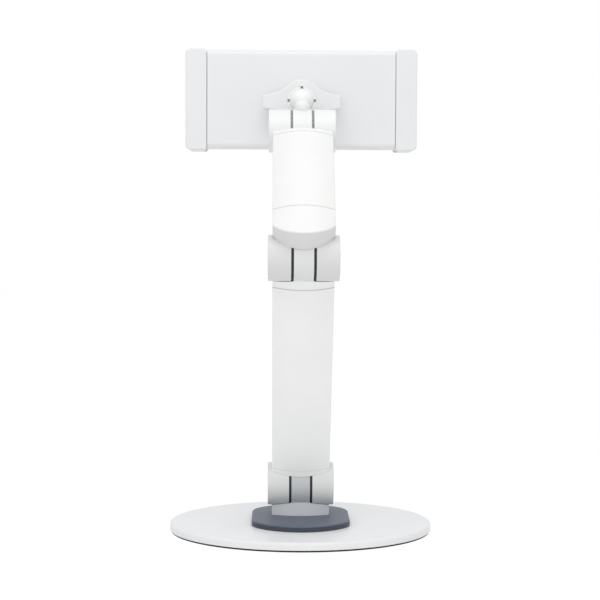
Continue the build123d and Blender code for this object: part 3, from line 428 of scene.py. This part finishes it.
class Tree:
    """A geometry node tree with named inputs, built by calls."""

    def __init__(self, name, **inputs):
        self.group = bpy.data.node_groups.new(name, "GeometryNodeTree")
        face = self.group.interface
        face.new_socket("Geometry", in_out="INPUT", socket_type="NodeSocketGeometry")
        self.values = {}
        for label, value in inputs.items():
            kind = "NodeSocketInt" if isinstance(value, int) else "NodeSocketFloat"
            if isinstance(value, bpy.types.Material):
                kind = "NodeSocketMaterial"
            socket = face.new_socket(label, in_out="INPUT", socket_type=kind)
            self.values[socket.identifier] = value
        face.new_socket("Geometry", in_out="OUTPUT", socket_type="NodeSocketGeometry")
        self.enter = self.group.nodes.new("NodeGroupInput")
        self.leave = self.group.nodes.new("NodeGroupOutput")

    def node(self, kind, settings=None, inputs=None):
        return add_node(self.group, kind, settings, inputs)

    def maths(self, operation, first, second):
        """The result of a Math node on two numbers or sockets."""
        node = self.node("ShaderNodeMath", {"operation": operation}, {0: first, 1: second})
        return node.outputs[0]

    def rod(self, axis, span, profile):
        """A straight rod of the profile along an axis, its middle at the origin."""
        ends = []
        for side in (-0.5, 0.5):
            reach = self.maths("MULTIPLY", span, side)
            ends.append(self.node("ShaderNodeCombineXYZ", None, {axis: reach}).outputs[0])
        line = self.node("GeometryNodeCurvePrimitiveLine", None, {"Start": ends[0], "End": ends[1]})
        inputs = {"Curve": line.outputs[0], "Profile Curve": profile, "Fill Caps": True}
        return self.node("GeometryNodeCurveToMesh", None, inputs).outputs[0]

    def column(self, shape, centre, count, pitch):
        """Copies of a shape one above the other about the centre, joined to the piece itself."""
        enter = self.enter.outputs
        step = self.node("ShaderNodeCombineXYZ", None, {"Z": enter["Pitch"]})
        first = centre - Vector((0.0, 0.0, pitch * (count - 1) / 2))
        row = self.node(
            "GeometryNodeMeshLine", {"mode": "OFFSET", "count_mode": "TOTAL"},
            {"Count": enter["Count"], "Start Location": first, "Offset": step.outputs[0]},
        )
        inputs = {"Points": row.outputs[0], "Instance": shape}
        copies = self.node("GeometryNodeInstanceOnPoints", None, inputs)
        join = self.node("GeometryNodeJoinGeometry")
        for geometry in (enter["Geometry"], copies.outputs[0]):
            self.group.links.new(geometry, join.inputs[0])
        self.close(join.outputs[0])

    def close(self, geometry):
        """Realizes the copies and sets the material before the tree's output."""
        real = self.node("GeometryNodeRealizeInstances", None, {"Geometry": geometry})
        inputs = {"Geometry": real.outputs[0], "Material": self.enter.outputs["Material"]}
        painted = self.node("GeometryNodeSetMaterial", None, inputs)
        self.group.links.new(painted.outputs[0], self.leave.inputs[0])

    def run(self, piece):
        """Evaluates the tree on a piece and keeps the result as the piece's plain mesh."""
        modifier = piece.modifiers.new(self.group.name, "NODES")
        modifier.node_group = self.group
        for identifier, value in self.values.items():
            modifier[identifier] = value
        bpy.context.view_layer.update()
        graph = bpy.context.evaluated_depsgraph_get()
        result = bpy.data.meshes.new_from_object(piece.evaluated_get(graph))
        piece.modifiers.remove(modifier)
        piece.data = result


# Settings


def tint(label, default):
    """A colour."""
    return FloatVectorProperty(
        name=label, description=f"{label}, as a screen shows it", default=default,
        size=3, min=0.0, max=1.0, subtype="COLOR_GAMMA",
    )


def share(label, words, default, low=0.1):
    """A factor up to 1."""
    return FloatProperty(
        name=label, description=words, default=default, min=low, max=1.0, subtype="FACTOR"
    )


def length(label, words, default, low, high):
    """A size in metres."""
    return FloatProperty(
        name=label, description=words, default=default, min=low, max=high,
        subtype="DISTANCE", unit="LENGTH", precision=5,
    )


def quantity(label, words, default, high):
    """A number without a unit."""
    return FloatProperty(name=label, description=words, default=default, min=0.0, max=high)


def number(label, words, default, low, high):
    """A count."""
    return IntProperty(name=label, description=words, default=default, min=low, max=high)


def angle(label, words, degrees):
    """An angle, its default in degrees."""
    return FloatProperty(
        name=label, description=words, default=math.radians(degrees),
        subtype="ANGLE", unit="ROTATION",
    )


class MountColours(PropertyGroup):
    arm: tint("Upper arm and top hinge", (0.95, 0.955, 0.95))
    # Painted light: the arms' white coat, given lighter on the lower arm than on the upper
    lower_arm: tint("Lower arm", (0.98, 0.985, 0.98))
    # Painted shade and a painted reflection of the blue pad: the arms' white coat, given darker and
    # bluer
    foot_painted_shade: tint("Foot block", (0.87, 0.88, 0.89))
    # Painted shade: the light the coat keeps round the base hinge and elbow barrels, and below the
    # nose's rim
    base_hinge_painted_shade: share("Base hinge coat", "Light kept by the coat at the base hinge", 0.78)
    elbow_painted_shade: share("Elbow coat", "Light kept by the coat at the elbow", 0.84)
    nose_painted_shade: share("Nose coat", "Light kept by the coat round the nose's rim", 0.86)
    base: tint("Base plate", (0.945, 0.95, 0.955))
    holder: tint("Tablet holder", (0.93, 0.935, 0.94))
    # Painted light: the ball and its collet are given a white lighter than the arms'
    ball: tint("Ball and its socket", (0.965, 0.97, 0.965))
    nut: tint("Wing nut", (0.93, 0.935, 0.94))
    pad: tint("Base pad", (0.335, 0.37, 0.435))
    # The pad's colour below a level a short way under its top
    pad_lower_colour: tint("Base pad's core", (0.215, 0.24, 0.28))
    sole: tint("Sole", (0.045, 0.045, 0.05))
    lining: tint("Jaw linings and face pad", (0.36, 0.38, 0.42))
    steel: tint("Screws, bolts and springs", (0.72, 0.73, 0.75))
    disc: tint("Friction washers", (0.16, 0.165, 0.17))
    # Painted shade: the top hinge's washers are grey where its slots hold only shade
    washer: tint("Top hinge's washers", (0.55, 0.55, 0.55))
    gear: tint("Racks, pinion and seat", (0.88, 0.87, 0.84))
    gloss: share("Coat roughness", "Roughness of the powder coat", 0.36, 0.05)
    peel: length("Orange peel", "Height of the powder coat's waves", 0.00004, 0.0, 0.001)
    grain: length("Plastic grain", "Height of the moulded plastic's texture", 0.00003, 0.0, 0.001)


class MountDetails(PropertyGroup):
    barrel_radius: length("Barrel radius", "Radius of the hinge barrels", 0.01625, 0.01, 0.03)
    arm_crown: length("Arm crown", "How far the arms' faces bow outwards", 0.005, 0.0, 0.01)
    washer_inset: length("Washer inset", "Depth below the barrel's surface", 0.0006, 0.0001, 0.006)
    washer_thickness: length("Washer thickness", "Thickness of a washer", 0.0019, 0.0005, 0.003)
    washer_bore: length("Washer bore", "Radius of a washer's bore", 0.00415, 0.003, 0.008)
    pad_corner: length("Pad corner", "Radius of the base pad's corners", 0.020, 0.005, 0.03)
    pad_rim: length("Pad rim radius", "Radius of the base pad's upper rim", 0.0013, 0.0003, 0.002)
    pad_top_depth: length("Pad skin", "Depth of the skin on the pad's core", 0.0009, 0.0002, 0.002)
    sole_rim: length("Sole rim radius", "Radius of the sole's lower rim", 0.0005, 0.0001, 0.0007)
    rib_count: number("Lining ribs", "Ribs on each jaw's lining", 9, 3, 20)
    rib_depth: length("Rib height", "How far a rib stands out of the lining", 0.0009, 0.0002, 0.002)
    rib_gap: length("Rib gap", "Gap between two ribs", 0.0007, 0.0002, 0.003)
    ridge_count: number("Face pad ridges", "Fine ridges across the face pad", 21, 3, 60)
    ridge_height: length("Ridge height", "Height of a face pad ridge", 0.0003, 0.0, 0.0006)
    recess: length("Screw recess", "Width of the cover screws' cross recess", 0.0009, 0.0003, 0.002)


class MountStage(PropertyGroup):
    lens: FloatProperty(
        name="Lens", description="Focal length on a 36 mm sensor", default=84.0, min=10.0,
        max=400.0, subtype="DISTANCE_CAMERA",
    )
    eye: FloatVectorProperty(
        name="Camera place", description="Where the camera stands",
        default=(-0.0200, -1.0680, 0.2330), size=3, subtype="XYZ", unit="LENGTH",
    )
    pitch: angle("Camera pitch", "How far the camera looks down", 3.0)
    yaw: angle("Camera yaw", "How far the camera looks to the right", 1.02)
    roll: angle("Camera roll", "How far the camera leans to the left", 0.25)
    ambient: quantity("Room light", "Strength of the light from all round", 0.64, 3.0)
    overhead: quantity("Overhead lamp", "Power of the soft box above, in watts", 10.0, 500.0)
    front: quantity("Front lamp", "Power of the soft box beside the camera, in watts", 2.4, 500.0)
    floor: tint("Floor", (0.97, 0.97, 0.97))


# Operators, one for each piece or group of like pieces


# Share of light that the painted shade keeps in each arm's two shut lines, the lower one first
LOWER_SEAM_PAINTED_SHADE = (0.86, 0.68)
UPPER_SEAM_PAINTED_SHADE = (0.82, 0.94)


class MOUNT_OT_coated(Operator):
    """Powder coats the base plate, the arms and the hinges' cheeks"""

    bl_idname = "mount.coated"
    bl_label = "Coated metal"

    def execute(self, context):
        colours = context.scene.mount_colours
        details = context.scene.mount_details
        base_hinge, elbow, wrist = (hinge_centre(name) for name in HINGES)
        lower_way, upper_way = (elbow - base_hinge).normalized(), (wrist - elbow).normalized()
        coat = {"peel": colours.peel, "gloss": colours.gloss, "radius": details.barrel_radius}
        # Painted shade round the base hinge and elbow barrels
        base_barrel_shade = (base_hinge, colours.base_hinge_painted_shade)
        elbow_barrel_shade = (elbow, colours.elbow_painted_shade)
        # Painted shade along each arm's two shut lines
        lower_seam_shade = tuple(zip(ends_along("lower_arm_tube", lower_way), LOWER_SEAM_PAINTED_SHADE))
        upper_seam_shade = tuple(zip(ends_along("upper_arm_tube", upper_way), UPPER_SEAM_PAINTED_SHADE))
        # The lower arm's lighter tint is painted light
        lower = powder_coat(
            "lower_arm_coat_painted_light_and_shade", linear(colours.lower_arm), shaded_barrels=(base_barrel_shade, elbow_barrel_shade),
            direction=lower_way, shaded_seams=lower_seam_shade, **coat,
        )
        upper_arm = {
            "colour": linear(colours.arm), "shaded_barrels": (elbow_barrel_shade,), "direction": upper_way,
            "shaded_seams": upper_seam_shade, **coat,
        }
        upper = powder_coat("upper_arm_coat_painted_shade", **upper_arm)
        upwards = Vector((0.0, -upper_way.z, upper_way.y))
        rim = ends_along("upper_arm_tube", upwards)[1]
        bow = details.arm_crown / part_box("upper_arm_tube")[1].x ** 2
        # Painted shade on the nose's end face, below the upper arm's rim
        shaded_wall = (upwards, rim, bow, colours.nose_painted_shade)
        nose = powder_coat("nose_coat_painted_shade", shaded_wall=shaded_wall, **upper_arm)
        # The foot's darker, bluer tint is painted shade and a painted reflection of the pad
        foot_painted_shade = powder_coat("foot_coat_painted_shade", linear(colours.foot_painted_shade), shaded_barrels=(base_barrel_shade,), **coat)
        top = powder_coat("knuckle_coat", linear(colours.arm), **coat)
        base = powder_coat("base_coat", linear(colours.base), **coat)
        dress(base, "base_plate")
        dress(foot_painted_shade, "foot_block")
        dress(lower, "lower_fork_cap", "lower_arm_tube", "lower_tongue_cap")
        dress(nose, "upper_nose_cap")
        dress(upper, "upper_arm_tube", "upper_fork_cap")
        dress(top, "wrist_knuckle")
        return {"FINISHED"}


class MOUNT_OT_hinges(Operator):
    """Finishes the bolts, nuts, disc springs and covers of the hinges"""

    bl_idname = "mount.hinges"
    bl_label = "Hinge hardware"

    def execute(self, context):
        colours = context.scene.mount_colours
        steel = plated_steel("zinc_plate", linear(colours.steel), 0.28)
        cover = moulded_plastic("cover_plastic", linear(colours.arm), colours.grain, 0.4)
        for hinge in HINGES:
            dress(steel, f"{hinge}_bolt", f"{hinge}_nut", f"{hinge}_disc_springs")
            dress(cover, f"{hinge}_covers")
        dress(
            steel, "foot_screws", "lower_set_screws", "upper_set_screws", "flange_screws",
            "pinion_axle", "right_spring", "left_spring", "right_jaw_screws", "left_jaw_screws",
        )
        return {"FINISHED"}


def washer_pair(name, centre, low_x, high_x, bore, radius, material):
    """Two flat rings with rounded rims, mirrored on both sides of a hinge's tongue."""
    rim, steps = 0.0003, 120
    turns = [2 * math.pi * i / steps for i in range(steps)]
    corner = arc((high_x - rim, radius - rim), rim, 0.0, math.pi / 2, 4)
    other = arc((low_x + rim, radius - rim), rim, math.pi / 2, math.pi, 4)
    profile = [(high_x, bore), *corner, *other, (low_x, bore)]
    mesh = bmesh.new()
    for side in (-1, 1):
        loops = [
            [
                mesh.verts.new((
                    side * x, centre.y + r * math.cos(turn), centre.z + r * math.sin(turn)
                ))
                for turn in turns
            ]
            for x, r in profile
        ]
        for first, second in zip(loops, loops[1:] + loops[:1]):
            join_rings(mesh, first, second)
    bmesh.ops.recalc_face_normals(mesh, faces=mesh.faces)
    return mesh_object(name, mesh, material)


class MOUNT_OT_washers(Operator):
    """Makes each hinge's two friction washers, which fill the slots beside the tongue"""

    bl_idname = "mount.washers"
    bl_label = "Friction washers"

    def execute(self, context):
        colours = context.scene.mount_colours
        details = context.scene.mount_details
        dark = friction_disc("friction_fibre", linear(colours.disc))
        # Painted shade: the top hinge's washers are grey to stand in for the shade in its slots
        grey = friction_disc("pale_fibre_painted_shade", linear(colours.washer))
        bodies = {"base_hinge": "lower_arm", "elbow": "upper_arm", "wrist": "upper_arm"}
        for hinge, body in bodies.items():
            node = f"{hinge}_friction_washers"
            low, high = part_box(node)
            washers = washer_pair(
                f"{hinge}_washers", middle_of(node), high.x - details.washer_thickness, high.x,
                details.washer_bore, details.barrel_radius - details.washer_inset,
                grey if hinge == "wrist" else dark,
            )
            smooth_by_angle(washers)
            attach(washers, body)
            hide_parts(node)
        return {"FINISHED"}


class MOUNT_OT_ball_joint(Operator):
    """Finishes the ball, its seat, the collet and the wing nut"""

    bl_idname = "mount.ball_joint"
    bl_label = "Ball joint"

    def execute(self, context):
        colours = context.scene.mount_colours
        # The ball's and collet's lighter tint is painted light
        ball = powder_coat("ball_coat_painted_light", linear(colours.ball), colours.peel * 0.5, colours.gloss)
        nut = moulded_plastic("nut_plastic", linear(colours.nut), colours.grain, 0.34)
        collet = moulded_plastic("collet_plastic_painted_light", linear(colours.ball), colours.grain, 0.34)
        gear = moulded_plastic("slide_plastic", linear(colours.gear), colours.grain, 0.45)
        dress(ball, "ball_stud")
        dress(nut, "wing_nut")
        dress(collet, "ball_socket")
        dress(gear, "ball_seat", "seat_plug", "pinion", "right_rack", "left_rack")
        return {"FINISHED"}


class MOUNT_OT_holder(Operator):
    """Finishes the holder's two halves and the jaws"""

    bl_idname = "mount.holder"
    bl_label = "Tablet holder"

    def execute(self, context):
        colours = context.scene.mount_colours
        shell = moulded_plastic("holder_plastic", linear(colours.holder), colours.grain, 0.38)
        dress(shell, "holder_back", "holder_front", "right_jaw", "left_jaw")
        return {"FINISHED"}


class MOUNT_OT_base_pad(Operator):
    """Makes the grey-blue pad on the base, a circle cut off at both sides"""

    bl_idname = "mount.base_pad"
    bl_label = "Base pad"

    def execute(self, context):
        colours = context.scene.mount_colours
        details = context.scene.mount_details
        low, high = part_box("base_pad")
        level = high.z - details.pad_top_depth
        lower_rim = 0.0002
        rubber = cast_rubber(
            "pad_rubber", linear(colours.pad), colours.grain, 0.5, linear(colours.pad_lower_colour), level
        )
        rings = [
            [(x, y, z) for x, y in cut_circle(high.y, high.x, details.pad_corner, inset)]
            for z, inset in rounded_levels(low.z, high.z, lower_rim, details.pad_rim)
        ]
        pad = loft_rings("base_pad_rubber", rings, rubber)
        smooth_by_angle(pad)
        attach(pad, "base")
        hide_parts("base_pad")
        return {"FINISHED"}


class MOUNT_OT_sole(Operator):
    """Makes the thin dark sole under the base plate, with a rounded lower rim"""

    bl_idname = "mount.sole"
    bl_label = "Sole"

    def execute(self, context):
        colours = context.scene.mount_colours
        details = context.scene.mount_details
        low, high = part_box("rubber_sole")
        rubber = cast_rubber("sole_rubber", linear(colours.sole), colours.grain, 0.62)
        upper_rim = 0.0001
        rings = [
            [(x, y, z) for x, y in oval(high.x, high.y, inset)]
            for z, inset in rounded_levels(low.z, high.z, details.sole_rim, upper_rim)
        ]
        sole = loft_rings("sole_sheet", rings, rubber)
        smooth_by_angle(sole)
        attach(sole, "base")
        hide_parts("rubber_sole")
        return {"FINISHED"}


def rib_tree(material, details, height, depth, centre):
    """Rounded ribs in a row along Z, joined to the slab that carries them."""
    edge_radius = 0.00035
    pitch = height / details.rib_count
    tree = Tree(
        "lining_ribs", Count=details.rib_count, Pitch=pitch, Gap=details.rib_gap,
        Depth=depth, Stand=2 * details.rib_depth, Round=edge_radius, Material=material,
    )
    enter = tree.enter.outputs
    profile = tree.node(
        "GeometryNodeCurvePrimitiveQuadrilateral", None,
        {"Width": enter["Stand"], "Height": enter["Depth"]},
    )
    rounded = tree.node(
        "GeometryNodeFilletCurve", {"mode": "POLY"},
        {"Curve": profile.outputs[0], "Count": 4, "Radius": enter["Round"], "Limit Radius": True},
    )
    rib_length = tree.maths("SUBTRACT", enter["Pitch"], enter["Gap"])
    rib = tree.rod("Z", rib_length, rounded.outputs[0])
    tree.column(rib, centre, details.rib_count, pitch)
    return tree


class MOUNT_OT_linings(Operator):
    """Makes each jaw's soft lining: a slab with a row of rounded ribs"""

    bl_idname = "mount.linings"
    bl_label = "Jaw linings"

    def execute(self, context):
        colours = context.scene.mount_colours
        details = context.scene.mount_details
        rubber = cast_rubber("lining_silicone", linear(colours.lining), colours.grain, 0.55)
        corner = 0.001
        for hand, side in (("right", 1), ("left", -1)):
            low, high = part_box(f"{hand}_jaw_pad")
            face_x = low.x if side > 0 else high.x
            wall_x = high.x if side > 0 else low.x
            slab_x = face_x + side * details.rib_depth
            near, far = sorted((slab_x, wall_x))
            y, z = (low.y + high.y) / 2, (low.z + high.z) / 2
            outline = rounded_box((high.y - low.y) / 2, (high.z - low.z) / 2, corner)
            rings = [[(x, y + py, z + pz) for py, pz in outline] for x in (near, far)]
            lining = loft_rings(f"{hand}_lining", rings, rubber)
            centre = Vector((slab_x, y, z))
            depth = (high.y - low.y) - corner
            rib_tree(rubber, details, high.z - low.z, depth, centre).run(lining)
            smooth_by_angle(lining)
            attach(lining, f"{hand}_jaw")
            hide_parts(f"{hand}_jaw_pad")
        return {"FINISHED"}


def ridge_tree(material, details, half_width, height, centre):
    """Fine ridges across the face pad, one above the other, joined to the pad."""
    pitch = height / details.ridge_count
    tree = Tree(
        "face_ridges", Count=details.ridge_count, Pitch=pitch,
        Radius=details.ridge_height, Width=2 * half_width, Material=material,
    )
    enter = tree.enter.outputs
    ring = tree.node(
        "GeometryNodeCurvePrimitiveCircle", {"mode": "RADIUS"},
        {"Resolution": 12, "Radius": enter["Radius"]},
    )
    ridge = tree.rod("X", enter["Width"], ring.outputs[0])
    tree.column(ridge, centre, details.ridge_count, pitch)
    return tree


class MOUNT_OT_face_pad(Operator):
    """Makes the soft pad on the holder's front, with fine ridges across it"""

    bl_idname = "mount.face_pad"
    bl_label = "Face pad"

    def execute(self, context):
        colours = context.scene.mount_colours
        details = context.scene.mount_details
        low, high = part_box("holder_face_pad")
        rubber = cast_rubber("face_silicone", linear(colours.lining), colours.grain, 0.55)
        face_y = high.y - details.ridge_height
        half_width, half_height = (high.x - low.x) / 2, (high.z - low.z) / 2
        z_middle = (low.z + high.z) / 2
        corner, back_rim, front_rim = 0.006, 0.0001, 0.0003
        side_margin, end_margin = 0.005, 0.004
        rings = [
            [(-x, y, z_middle + z) for x, z in rounded_box(half_width, half_height, corner, inset)]
            for y, inset in rounded_levels(low.y, face_y, back_rim, front_rim)
        ]
        pad = loft_rings("face_pad_silicone", rings, rubber)
        centre = Vector((0.0, face_y, z_middle))
        ridge_half = half_width - side_margin
        ridge_reach = 2 * half_height - 2 * end_margin
        ridge_tree(rubber, details, ridge_half, ridge_reach, centre).run(pad)
        smooth_by_angle(pad)
        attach(pad, "holder")
        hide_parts("holder_face_pad")
        return {"FINISHED"}


def cross_points(arm_width, reach):
    """The twelve corners of a cross, in order round its middle."""
    half = arm_width / 2
    corners = []
    for turn in range(4):
        c, s = math.cos(turn * math.pi / 2), math.sin(turn * math.pi / 2)
        for x, z in ((reach, -half), (reach, half), (half, half)):
            corners.append((c * x - s * z, s * x + c * z))
    return corners


def cross_screw(name, head_radius, shank_radius, head_length, screw_length, recess, material):
    """A countersunk screw along -Y with a cross recess, its head's middle at the origin."""
    lip = 0.00015
    reach, taper, depth = 0.62 * head_radius, 0.72, 0.8 * head_length
    mesh = bmesh.new()
    rings = [
        ring_of(mesh, radius, y)
        for radius, y in (
            (head_radius - lip, 0.0), (head_radius, -lip), (shank_radius, -head_length),
            (shank_radius, -screw_length + 2 * lip), (shank_radius - 2 * lip, -screw_length),
        )
    ]
    for first, second in zip(rings, rings[1:]):
        join_rings(mesh, first, second)
    mesh.faces.new(rings[-1])
    corners = cross_points(recess, reach)
    top = [mesh.verts.new((x, 0.0, z)) for x, z in corners]
    deep = [mesh.verts.new((taper * x, -depth, taper * z)) for x, z in corners]
    join_rings(mesh, top, deep)
    mesh.faces.new(deep)
    rims = [edge for edge in mesh.edges if edge.is_boundary]
    bmesh.ops.triangle_fill(mesh, use_beauty=True, use_dissolve=False, edges=rims)
    bmesh.ops.recalc_face_normals(mesh, faces=mesh.faces)
    return mesh_object(name, mesh, material)


def screw_tree(material, screw, half_width, half_height):
    """A screw at each corner of a rectangle that stands across Y."""
    tree = Tree("corner_screws", Width=2 * half_width, Height=2 * half_height, Material=material)
    enter = tree.enter.outputs
    grid = tree.node(
        "GeometryNodeMeshGrid", None,
        {"Size X": enter["Width"], "Size Y": enter["Height"], "Vertices X": 2, "Vertices Y": 2},
    )
    upright = tree.node(
        "GeometryNodeTransform", None,
        {"Geometry": grid.outputs[0], "Rotation": (math.pi / 2, 0.0, 0.0)},
    )
    shape = tree.node("GeometryNodeObjectInfo", {"transform_space": "ORIGINAL"}, {"Object": screw})
    copies = tree.node(
        "GeometryNodeInstanceOnPoints", None,
        {"Points": upright.outputs[0], "Instance": shape.outputs["Geometry"]},
    )
    tree.close(copies.outputs[0])
    return tree


class MOUNT_OT_cover_screws(Operator):
    """Makes the front cover's four countersunk screws with their cross recesses"""

    bl_idname = "mount.cover_screws"
    bl_label = "Cover screws"

    def execute(self, context):
        colours = context.scene.mount_colours
        details = context.scene.mount_details
        low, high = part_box("cover_screws")
        head, shank, head_length = 0.0028, 0.0015, 0.0013
        steel = plated_steel("screw_steel", linear(colours.steel), 0.25)
        pattern = cross_screw(
            "cover_screw_pattern", head, shank, head_length, high.y - low.y, details.recess, steel
        )
        half_width = (high.x - low.x) / 2 - head
        half_height = (high.z - low.z) / 2 - head
        screws = mesh_object("cover_screw_set", bmesh.new(), steel)
        screw_tree(steel, pattern, half_width, half_height).run(screws)
        middle = Vector(((low.x + high.x) / 2, high.y, (low.z + high.z) / 2))
        screws.data.transform(Matrix.Translation(middle))
        bpy.data.objects.remove(pattern)
        smooth_by_angle(screws, 30.0)
        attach(screws, "holder")
        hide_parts("cover_screws")
        return {"FINISHED"}


def seen_light(tree):
    """1 for rays from the camera, off gloss and through glass, and 0 for light that spreads."""
    path = add_node(tree, "ShaderNodeLightPath")
    seen = Wire(tree, path.outputs["Is Camera Ray"])
    for ray in ("Is Glossy Ray", "Is Transmission Ray"):
        seen = seen.maths("MAXIMUM", Wire(tree, path.outputs[ray]))
    return seen


# Where the two soft boxes hang, how wide they are, and the point that they face
OVERHEAD_PLACE, OVERHEAD_SIZE = (0.0, -0.75, 1.6), 1.4
FRONT_PLACE, FRONT_SIZE = (-0.35, -1.7, 0.4), 1.2
LAMP_AIM = (0.0, 0.0, 0.2)
# Half the floor's width, and the strength and share of its own white where it is seen
FLOOR_REACH = 6.0
FLOOR_GLOW, FLOOR_GLOW_SHARE = 1.06, 0.85
WHITE = (1.0, 1.0, 1.0, 1.0)


class MOUNT_OT_stage(Operator):
    """Sets up the pale floor, the soft light and the camera"""

    bl_idname = "mount.stage"
    bl_label = "Studio"

    def execute(self, context):
        stage = context.scene.mount_stage
        self.lay_floor(stage)
        self.light_room(context, stage)
        self.hang_lamp(context, "overhead_box", OVERHEAD_PLACE, OVERHEAD_SIZE, stage.overhead)
        self.hang_lamp(context, "front_box", FRONT_PLACE, FRONT_SIZE, stage.front)
        lens = bpy.data.cameras.new("photo_camera")
        lens.sensor_width = 36.0
        lens.lens = stage.lens
        lens.clip_start, lens.clip_end = 0.01, 50.0
        camera = bpy.data.objects.new("photo_camera", lens)
        camera.location = stage.eye
        aim = Euler((math.pi / 2 - stage.pitch, 0.0, -stage.yaw)).to_matrix()
        camera.rotation_euler = (aim @ Matrix.Rotation(stage.roll, 3, "Z")).to_euler()
        context.scene.collection.objects.link(camera)
        context.scene.camera = camera
        context.scene.view_settings.view_transform = "Standard"
        return {"FINISHED"}

    def hang_lamp(self, context, name, place, size, power):
        """Hangs a square soft box that faces the mount."""
        lamp = bpy.data.lights.new(name, "AREA")
        lamp.shape = "SQUARE"
        lamp.size = size
        lamp.energy = power
        box = bpy.data.objects.new(name, lamp)
        box.location = place
        towards = Vector(LAMP_AIM) - Vector(place)
        box.rotation_euler = towards.to_track_quat("-Z", "Y").to_euler()
        context.scene.collection.objects.link(box)

    def light_room(self, context, stage):
        """Lights the room from all round, and shows it white."""
        world = bpy.data.worlds.new("white_room")
        world.use_nodes = True
        tree = world.node_tree
        tree.nodes.clear()
        strength = seen_light(tree) * (1.0 - stage.ambient) + stage.ambient
        inputs = {"Color": WHITE, "Strength": strength}
        room = add_node(tree, "ShaderNodeBackground", None, inputs)
        add_node(tree, "ShaderNodeOutputWorld", None, {0: room.outputs[0]})
        context.scene.world = world

    def lay_floor(self, stage):
        """Lays the floor, which shows white and keeps the mount's shadow."""
        mesh = bmesh.new()
        bmesh.ops.create_grid(mesh, x_segments=1, y_segments=1, size=FLOOR_REACH)
        material = bpy.data.materials.new("floor_paper")
        material.use_nodes = True
        tree = material.node_tree
        shader = tree.nodes["Principled BSDF"]
        shader.inputs["Roughness"].default_value = 0.9
        shader.inputs["Base Color"].default_value = (*linear(stage.floor), 1.0)
        inputs = {"Color": WHITE, "Strength": FLOOR_GLOW}
        glow = add_node(tree, "ShaderNodeEmission", None, inputs)
        seen = seen_light(tree) * FLOOR_GLOW_SHARE
        inputs = {0: seen, 1: shader.outputs[0], 2: glow.outputs[0]}
        mix = add_node(tree, "ShaderNodeMixShader", None, inputs)
        tree.links.new(mix.outputs[0], tree.nodes["Material Output"].inputs[0])
        mesh_object("floor", mesh, material)


GROUPS = {
    "mount_colours": MountColours,
    "mount_details": MountDetails,
    "mount_stage": MountStage,
}
OPERATORS = (
    MOUNT_OT_coated,
    MOUNT_OT_hinges,
    MOUNT_OT_washers,
    MOUNT_OT_ball_joint,
    MOUNT_OT_holder,
    MOUNT_OT_base_pad,
    MOUNT_OT_sole,
    MOUNT_OT_linings,
    MOUNT_OT_face_pad,
    MOUNT_OT_cover_screws,
    MOUNT_OT_stage,
)


class MOUNT_PT_sidebar(Panel):
    """Lists the mount's operators and settings in the 3D view's sidebar"""

    bl_idname = "MOUNT_PT_sidebar"
    bl_label = "Tablet mount"
    bl_space_type = "VIEW_3D"
    bl_region_type = "UI"
    bl_category = "Tablet mount"

    def draw(self, context):
        for operator in OPERATORS:
            self.layout.operator(operator.bl_idname)
        for name in GROUPS:
            group = getattr(context.scene, name)
            box = self.layout.box()
            for setting in group.bl_rna.properties.keys():
                if setting not in ("rna_type", "name"):
                    box.prop(group, setting)


CLASSES = (*GROUPS.values(), *OPERATORS, MOUNT_PT_sidebar)


def register():
    for entry in CLASSES:
        bpy.utils.register_class(entry)
    for name, group in GROUPS.items():
        setattr(bpy.types.Scene, name, PointerProperty(type=group))


def unregister():
    for name in GROUPS:
        delattr(bpy.types.Scene, name)
    for entry in reversed(CLASSES):
        bpy.utils.unregister_class(entry)


def main():
    register()
    for operator in OPERATORS:
        group, name = operator.bl_idname.split(".")
        getattr(getattr(bpy.ops, group), name)()


if __name__ == "__main__":
    main()
